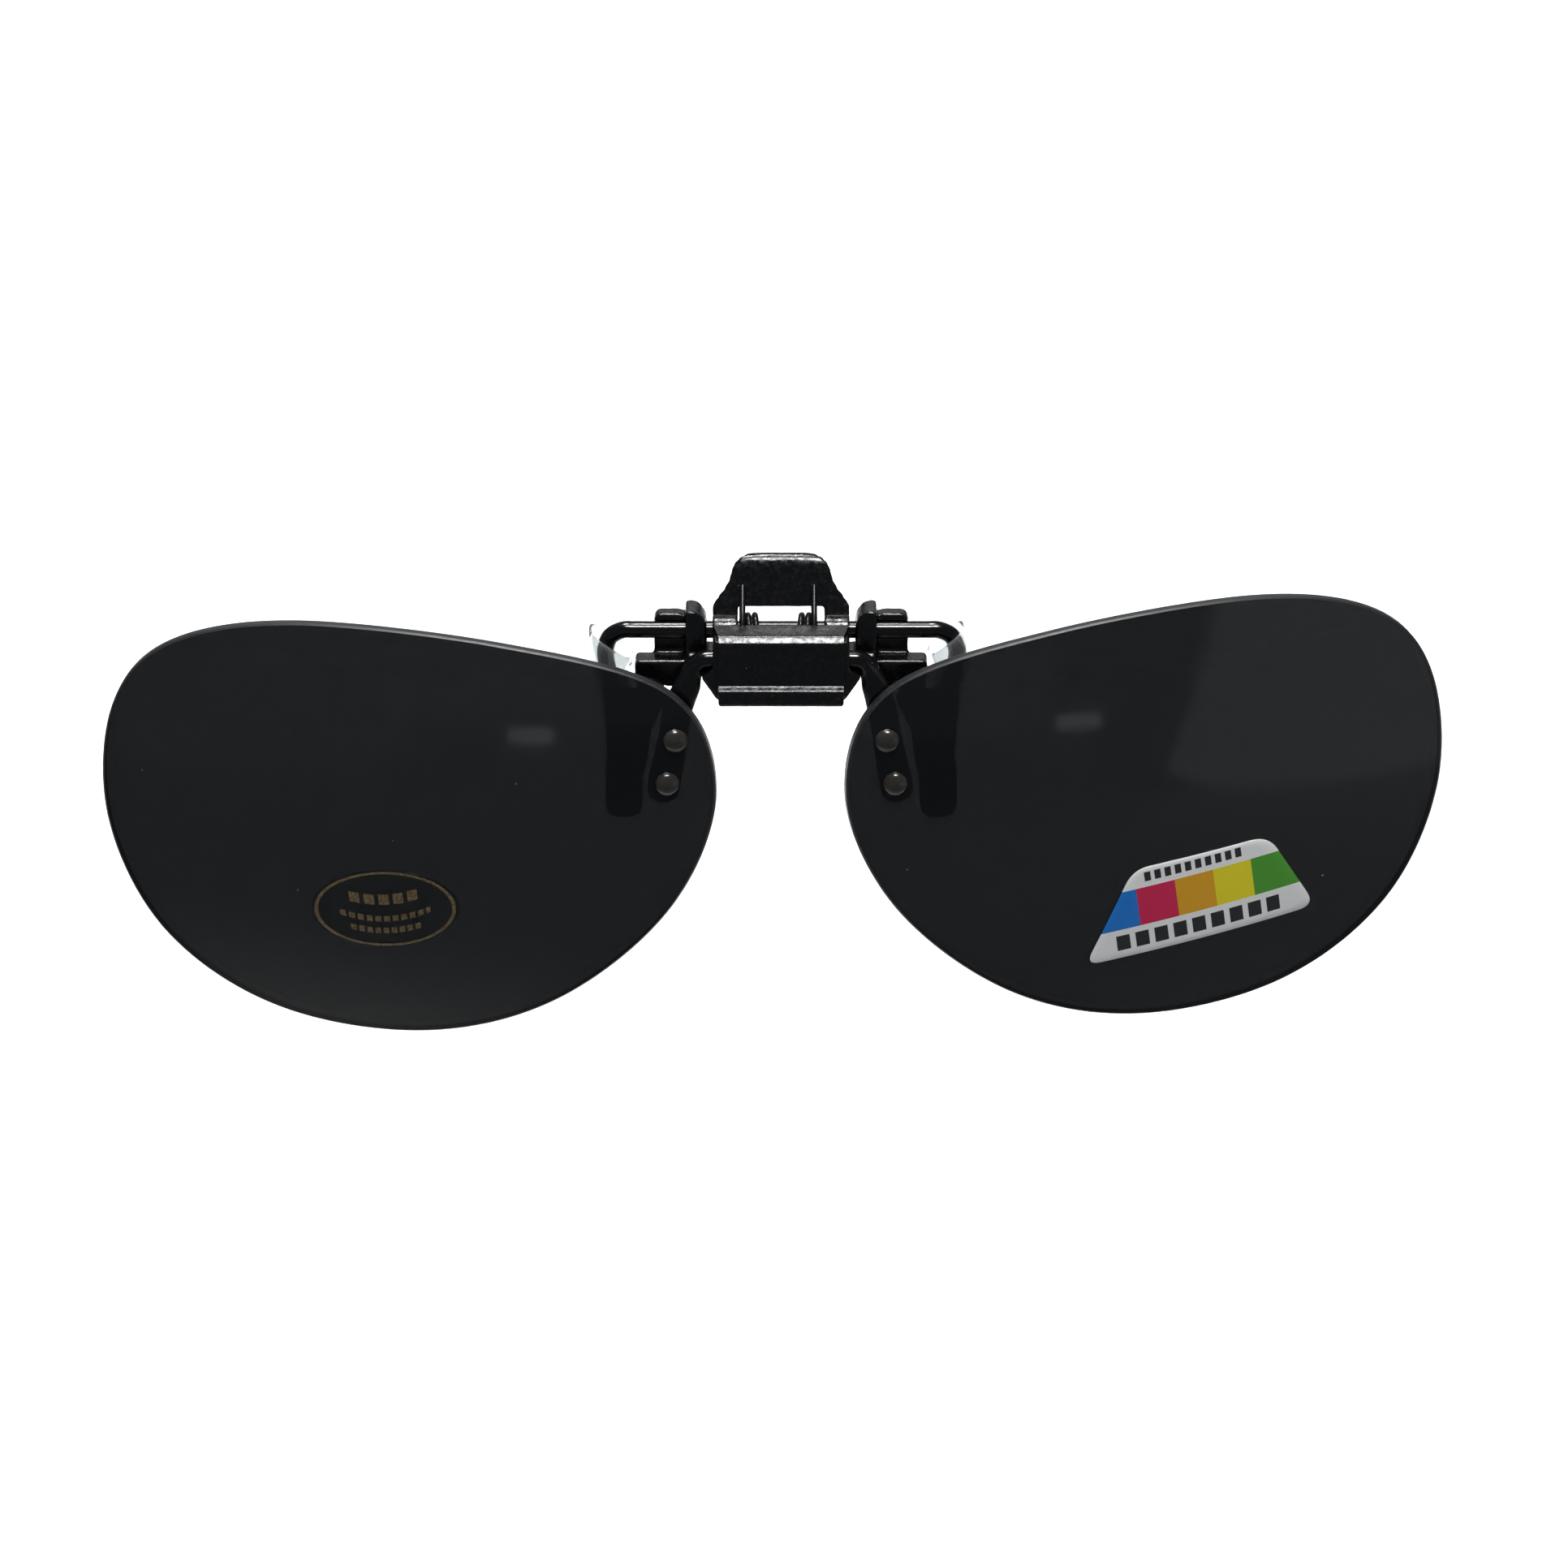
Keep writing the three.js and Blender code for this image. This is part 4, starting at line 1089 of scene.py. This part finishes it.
class FLIPLENS_OT_front_jaws(bpy.types.Operator):
    """Flat front jaw tongues and the black vinyl boots over them"""
    bl_idname = "fliplens.front_jaws"
    bl_label = "Front Jaws"
    bl_options = {"REGISTER", "UNDO"}

    TONGUE_FRONT_Y = 1.45
    TONGUE_BACK_Y = 2.15
    PAD_MIDDLE_Y = 1.8
    PAD_HALF_DEPTH = 0.8
    BOOT_WALL = 0.3

    def tongue(self, hand):
        outline = [
            (10.95, -2.1, 0.1), (13.95, -2.1, 0.1), (13.95, -4.9, 0.4), (16.1, -6.6, 0.6),
            (16.2, -16.4, 1.1), (13.9, -16.4, 1.1), (13.6, -8.2, 0.6), (11.6, -5.6, 0.5),
        ]
        outline = mirrored(outline, SIDES[hand])
        bm = plate(outline, "XZ", self.TONGUE_FRONT_Y, self.TONGUE_BACK_Y, 0.12)
        finish_piece(bm, f"front_tongue_{hand}", "base", [f"front_jaw_{hand}"],
                     [finish("sheet_enamel")])

    def boot(self, hand):
        side = SIDES[hand]
        rims = [
            (-17.9, 14.3, 16.3), (-17.4, 13.75, 16.85), (-16.6, 13.5, 17.1), (-13.8, 13.45, 17.05),
            (-11.4, 12.95, 16.85), (-8.6, 12.6, 16.95), (-6.6, 11.85, 17.15), (-5.2, 11.2, 17.25),
            (-4.65, 11.05, 17.25),
        ]
        knots = [((side * (inner + outer) / 2, self.PAD_MIDDLE_Y, z), (outer - inner) / 2,
                  self.PAD_HALF_DEPTH * (0.7 if z < -17.8 else 1), 5) for z, inner, outer in rims]
        bm = bmesh.new()
        sweep(bm, open_boot(smooth_route(knots, 5), self.BOOT_WALL), sides=48)
        finish_piece(bm, f"black_boot_{hand}", "base", [f"front_pad_{hand}"],
                     [finish("black_vinyl")], sharp=math.pi)

    def execute(self, context):
        for hand in SIDES:
            self.tongue(hand)
            self.boot(hand)
        return {"FINISHED"}


class FLIPLENS_OT_rear_sleeves(bpy.types.Operator):
    """Clear vinyl boots over the rear jaws, cut slantwise where the wire enters"""
    bl_idname = "fliplens.rear_sleeves"
    bl_label = "Rear Sleeves"
    bl_options = {"REGISTER", "UNDO"}

    MOUTHS = {"left": (16.4, -0.08, 2.67, 38), "right": (15.9, 0.3, 2.3, 43)}
    MOUTH_TIP = 0.3

    def execute(self, context):
        for hand, side in SIDES.items():
            mouth_x, mouth_z, mouth_wide, mouth_slant = self.MOUTHS[hand]
            rims = [
                (15.3, 3.72, -17.75, 1.1, 0.62, 0), (15.3, 3.68, -17.2, 1.6, 0.84, 0),
                (15.3, 3.66, -16.2, 1.84, 0.92, 0), (15.35, 3.66, -13.0, 1.86, 0.93, 0),
                (15.4, 3.66, -9.5, 1.86, 0.93, 0), (15.8, 3.62, -6.8, 1.72, 0.98, 4),
                (16.25, 3.5, -4.4, 1.62, 1.1, 10), (16.5, 3.35, -2.4, 1.85, 1.2, 24),
                (mouth_x, 3.25, mouth_z, mouth_wide, 1.36, mouth_slant),
            ]
            knots = [((side * x, y, z), wide, thick, 3.2, math.radians(slant))
                     for x, y, z, wide, thick, slant in rims]
            outside = []
            for point, wide, thick, square, lean in smooth_route(knots, 5):
                travel = Vector((-side * math.sin(lean), -self.MOUTH_TIP * lean, math.cos(lean)))
                outside.append((point, wide, thick, square, travel))
            bm = bmesh.new()
            sweep(bm, open_boot(outside, sizes().sleeve_wall / MM), sides=40)
            finish_piece(bm, f"clear_sleeve_{hand}", "lever", [f"rear_sleeve_{hand}"],
                         [finish("clear_vinyl")], sharp=math.pi)
        return {"FINISHED"}


class FLIPLENS_OT_lenses(bpy.types.Operator):
    """Two domed dark lenses with ground and chamfered rims"""
    bl_idname = "fliplens.lenses"
    bl_label = "Lenses"
    bl_options = {"REGISTER", "UNDO"}

    def execute(self, context):
        rim = sizes().lens_edge_rounding / MM
        middle = Vector((0, 2))
        for hand, lens in FRAMES.items():
            corners = [(lens.side * x, z) for x, z in LENS_OUTLINE]
            outline = closed_outline(corners, 20)
            bm = bmesh.new()
            rim_faces = curved_sheet(bm, outline, middle, 0, LENS_THICKNESS, rim, lens.matrix)
            for face in rim_faces:
                face.material_index = 1
            finish_piece(bm, f"tinted_lens_{hand}", "lenses", [f"lens_{hand}"],
                         [finish("lens_grey"), finish("ground_edge")], sharp=math.radians(25))
        return {"FINISHED"}


class FLIPLENS_OT_rivets(bpy.types.Operator):
    """Domed nylon rivets with upset tails, and the soft washers under the lenses"""
    bl_idname = "fliplens.rivets"
    bl_label = "Rivets And Washers"
    bl_options = {"REGISTER", "UNDO"}

    HEAD_RADIUS = 1.2
    HEAD_HEIGHT = 0.75
    STEM_RADIUS = 0.6
    TAIL_RADIUS = 1.0
    TAIL_HEIGHT = 0.45
    WASHER_RADIUS = 1.3
    WASHER_FRONT = 1.12
    WASHER_THICKNESS = 0.25
    WASHER_SOFT_EDGE = 0.07
    WASHER_PLAY = 0.12
    PLAY = 0.04

    def spun(self, profile, matrix):
        bm = bmesh.new()
        verts = [bm.verts.new((r, y, 0)) for r, y in profile]
        edges = [bm.edges.new(pair) for pair in zip(verts, verts[1:])]
        bmesh.ops.spin(bm, geom=verts + edges, cent=(0, 0, 0), axis=Y_AXIS, angle=2 * math.pi,
                       steps=40, use_merge=True)
        bmesh.ops.remove_doubles(bm, verts=bm.verts, dist=1e-3)
        bmesh.ops.transform(bm, matrix=matrix, verts=bm.verts)
        bmesh.ops.recalc_face_normals(bm, faces=bm.faces)
        return bm

    def rivet_profile(self):
        under = -self.PLAY
        quarter = [math.pi / 2 * k / 12 for k in range(13)]
        head_dome = self.HEAD_HEIGHT - 0.1
        head = [(self.HEAD_RADIUS * math.sin(a), under - 0.1 - head_dome * math.cos(a))
                for a in quarter]
        tail_front = PLATE_FRONT + PLATE_THICKNESS + self.PLAY
        tail_back = tail_front + self.TAIL_HEIGHT
        tail_dome = self.TAIL_HEIGHT - 0.1
        tail = [(self.TAIL_RADIUS * math.cos(a), tail_front + 0.08 + tail_dome * math.sin(a))
                for a in quarter[:-3]]
        dimple = [(0.28, tail_back - 0.05), (0.14, tail_back - 0.1), (0, tail_back - 0.12)]
        stem = [(self.HEAD_RADIUS - 0.04, under), (self.STEM_RADIUS, under),
                (self.STEM_RADIUS, tail_front), (self.TAIL_RADIUS - 0.05, tail_front)]
        return [*head, *stem, *tail, *dimple]

    def washer_profile(self):
        inner, outer = self.STEM_RADIUS + self.WASHER_PLAY, self.WASHER_RADIUS
        front, back = self.WASHER_FRONT, self.WASHER_FRONT + self.WASHER_THICKNESS
        soft = self.WASHER_SOFT_EDGE
        return [
            (inner, front), (outer - soft, front), (outer - soft * 0.3, front + soft * 0.3),
            (outer, front + soft), (outer, back - soft), (outer - soft * 0.3, back - soft * 0.3),
            (outer - soft, back), (inner, back), (inner, front),
        ]

    def execute(self, context):
        for hand, lens in FRAMES.items():
            for place in RIVETS:
                matrix = lens.rivet(place)
                bm = self.spun(self.rivet_profile(), matrix)
                uneven(bm, 0.006, 0.5)
                finish_piece(bm, f"nylon_rivet_{hand}_{place}", "lenses", [f"rivet_{hand}_{place}"],
                             [finish("smoky_nylon")])
                bm = self.spun(self.washer_profile(), matrix)
                finish_piece(bm, f"soft_washer_{hand}_{place}", "lenses",
                             [f"washer_{hand}_{place}"], [finish("clear_vinyl")])
        return {"FINISHED"}


class FLIPLENS_OT_labels(bpy.types.Operator):
    """Two stuck-on films with plain marks: an oval on the left lens and a band on the right"""
    bl_idname = "fliplens.labels"
    bl_label = "Labels"
    bl_options = {"REGISTER", "UNDO"}

    GAP = 0.05
    RIM = 0.05
    OVAL_MIDDLE = Vector((-0.45, -4.75))
    OVAL_TILT = 0.235
    OVAL_STEPS = 96
    BAND_MIDDLE = Vector((2.4, -5.8))
    BAND_CORNERS = [(-3.6, -1.5, 1.7), (-9.6, -10.9, 1.6), (14.4, -10.9, 1.9), (10.4, -1.7, 1.9)]

    def film(self, hand, outline, middle, tilt, name, node, slot, material):
        bm = bmesh.new()
        front = -self.GAP - sizes().film_thickness / MM
        curved_sheet(bm, outline, middle, front, -self.GAP, self.RIM, Matrix(), rings=8)
        uv = bm.loops.layers.uv.new("label")
        turn = Matrix.Rotation(-tilt, 2)
        for face in bm.faces:
            for loop in face.loops:
                flat = turn @ (Vector((loop.vert.co.x, loop.vert.co.z)) - middle)
                loop[uv].uv = flat / LABEL_SPAN + Vector((0.5, 0.5))
        bmesh.ops.transform(bm, matrix=FRAMES[hand].matrix, verts=bm.verts)
        finish_piece(bm, name, "lenses", [node], [finish(material)], sharp=math.radians(60))

    def execute(self, context):
        turn = Matrix.Rotation(self.OVAL_TILT, 2)
        oval = []
        for k in range(self.OVAL_STEPS):
            angle = 2 * math.pi * k / self.OVAL_STEPS
            reach = Vector((OVAL_HALF_WIDTH * math.cos(angle), OVAL_HALF_HEIGHT * math.sin(angle)))
            oval.append(self.OVAL_MIDDLE + turn @ reach)
        self.film("left", oval, self.OVAL_MIDDLE, self.OVAL_TILT,
                  "oval_label", "label_oval", "clear_film", "oval_film")
        band = rounded_outline(self.BAND_CORNERS)
        self.film("right", band, self.BAND_MIDDLE, 0,
                  "band_label", "label_band", "printed_film", "band_film")
        return {"FINISHED"}


class FLIPLENS_OT_stage(bpy.types.Operator):
    """Pale floor, soft studio light and the camera"""
    bl_idname = "fliplens.stage"
    bl_label = "Stage"
    bl_options = {"REGISTER", "UNDO"}

    CAMERA_TARGET = Vector((0.00028, -0.00265, -0.0022))
    CAMERA_ELEVATION = math.radians(26)
    CAMERA_DISTANCE = 0.6
    FOCAL_LENGTH = 142
    SENSOR_WIDTH = 36
    FLOOR_DROP = 0.16
    FLOOR_HALF_SIZE = 2.5
    WORLD_COLOUR = (0.82, 0.9, 1.0, 1)
    WORLD_STRENGTH = 0.11
    # Name, place, target, width, height, watts, spread in degrees and roll.
    LIGHTS = (
        ("top_front", (0.05, -0.28, 0.7), (0, 0, 0), 0.36, 0.2, 0.22, 25),
        ("top_back", (-0.08, 0.18, 0.75), (0, 0.02, 0), 0.45, 0.1, 0.16, 20),
        ("back_card", (0, 1.25, 0.62), (0, 0, 0), 1.8, 0.5, 1.6),
        ("room_left", (-0.47, -0.52, -0.08), (0, 0, -0.02), 0.6, 0.34, 0.03, 180, 0.3),
        ("room_middle", (0, -1.2, -0.1), (0, 0, 0), 0.8, 0.3, 0.04, 180, -0.1),
        ("room_right", (0.51, -0.32, -0.08), (0, 0, -0.02), 0.5, 0.34, 0.13, 180, -0.3),
        ("window_left", (-0.08, -0.97, -0.17), (0, 0, -0.02), 0.08, 0.03, 0.005),
        ("window_right", (0.369, -0.924, -0.14), (0, 0, -0.02), 0.08, 0.03, 0.005),
        ("floor_wash", (0, 0.17, 0.5), (0, 0.66, -0.2), 1.1, 0.42, 6.4, 90),
    )

    def camera(self):
        camera = bpy.data.objects.new("camera", bpy.data.cameras.new("camera"))
        camera.data.lens = self.FOCAL_LENGTH
        camera.data.sensor_width = self.SENSOR_WIDTH
        camera.data.clip_start = 0.01
        back = Vector((0, -math.cos(self.CAMERA_ELEVATION), math.sin(self.CAMERA_ELEVATION)))
        camera.location = self.CAMERA_TARGET + back * self.CAMERA_DISTANCE
        camera.rotation_euler = (math.pi / 2 - self.CAMERA_ELEVATION, 0, 0)
        bpy.context.scene.collection.objects.link(camera)
        bpy.context.scene.camera = camera

    def light(self, name, place, target, width, height, power, spread=180, roll=0.0):
        light = bpy.data.lights.new(name, "AREA")
        light.shape = "RECTANGLE"
        light.size = width
        light.size_y = height
        light.energy = power
        light.spread = math.radians(spread)
        holder = bpy.data.objects.new(name, light)
        holder.location = place
        aim = (Vector(target) - Vector(place)).to_track_quat("-Z", "Y").to_matrix()
        holder.rotation_euler = (aim @ Matrix.Rotation(roll, 3, "Z")).to_euler()
        bpy.context.scene.collection.objects.link(holder)

    def execute(self, context):
        self.camera()
        low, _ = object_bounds()
        bm = bmesh.new()
        bmesh.ops.create_grid(bm, x_segments=8, y_segments=8, size=self.FLOOR_HALF_SIZE)
        bmesh.ops.translate(bm, verts=bm.verts, vec=(0, 0, low.z - self.FLOOR_DROP))
        mesh = bpy.data.meshes.new("floor")
        bm.to_mesh(mesh)
        bm.free()
        mesh.materials.append(finish("pale_floor"))
        floor = bpy.data.objects.new("floor", mesh)
        bpy.context.scene.collection.objects.link(floor)
        floor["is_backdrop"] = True
        for light in self.LIGHTS:
            self.light(*light)
        world = bpy.data.worlds.new("studio")
        world.use_nodes = True
        sky = world.node_tree.nodes["Background"].inputs
        sky["Color"].default_value = self.WORLD_COLOUR
        sky["Strength"].default_value = self.WORLD_STRENGTH
        bpy.context.scene.world = world
        bpy.context.scene.view_settings.view_transform = "Standard"
        return {"FINISHED"}


OPERATORS = (
    FLIPLENS_OT_hinge_cover, FLIPLENS_OT_clip_base, FLIPLENS_OT_springs, FLIPLENS_OT_thumb_lever,
    FLIPLENS_OT_jaw_wire, FLIPLENS_OT_lens_wire, FLIPLENS_OT_front_jaws, FLIPLENS_OT_rear_sleeves,
    FLIPLENS_OT_lenses, FLIPLENS_OT_rivets, FLIPLENS_OT_labels, FLIPLENS_OT_stage,
)


class FLIPLENS_PT_panel(bpy.types.Panel):
    bl_idname = "FLIPLENS_PT_panel"
    bl_label = "Flip Lenses"
    bl_space_type = "VIEW_3D"
    bl_region_type = "UI"
    bl_category = "Flip Lenses"

    def draw(self, context):
        for group in (context.scene.flip_lens_sizes, context.scene.flip_lens_colours):
            box = self.layout.box()
            for name in group.__annotations__:
                box.prop(group, name)
        for operator in OPERATORS:
            self.layout.operator(operator.bl_idname)


CLASSES = (FLIPLENS_PG_sizes, FLIPLENS_PG_colours, *OPERATORS, FLIPLENS_PT_panel)


def register():
    for cls in CLASSES:
        bpy.utils.register_class(cls)
    bpy.types.Scene.flip_lens_sizes = PointerProperty(type=FLIPLENS_PG_sizes)
    bpy.types.Scene.flip_lens_colours = PointerProperty(type=FLIPLENS_PG_colours)


def unregister():
    del bpy.types.Scene.flip_lens_sizes
    del bpy.types.Scene.flip_lens_colours
    for cls in reversed(CLASSES):
        bpy.utils.unregister_class(cls)


def main():
    register()
    for operator in OPERATORS:
        group, name = operator.bl_idname.split(".")
        getattr(getattr(bpy.ops, group), name)()


if __name__ == "__main__":
    main()
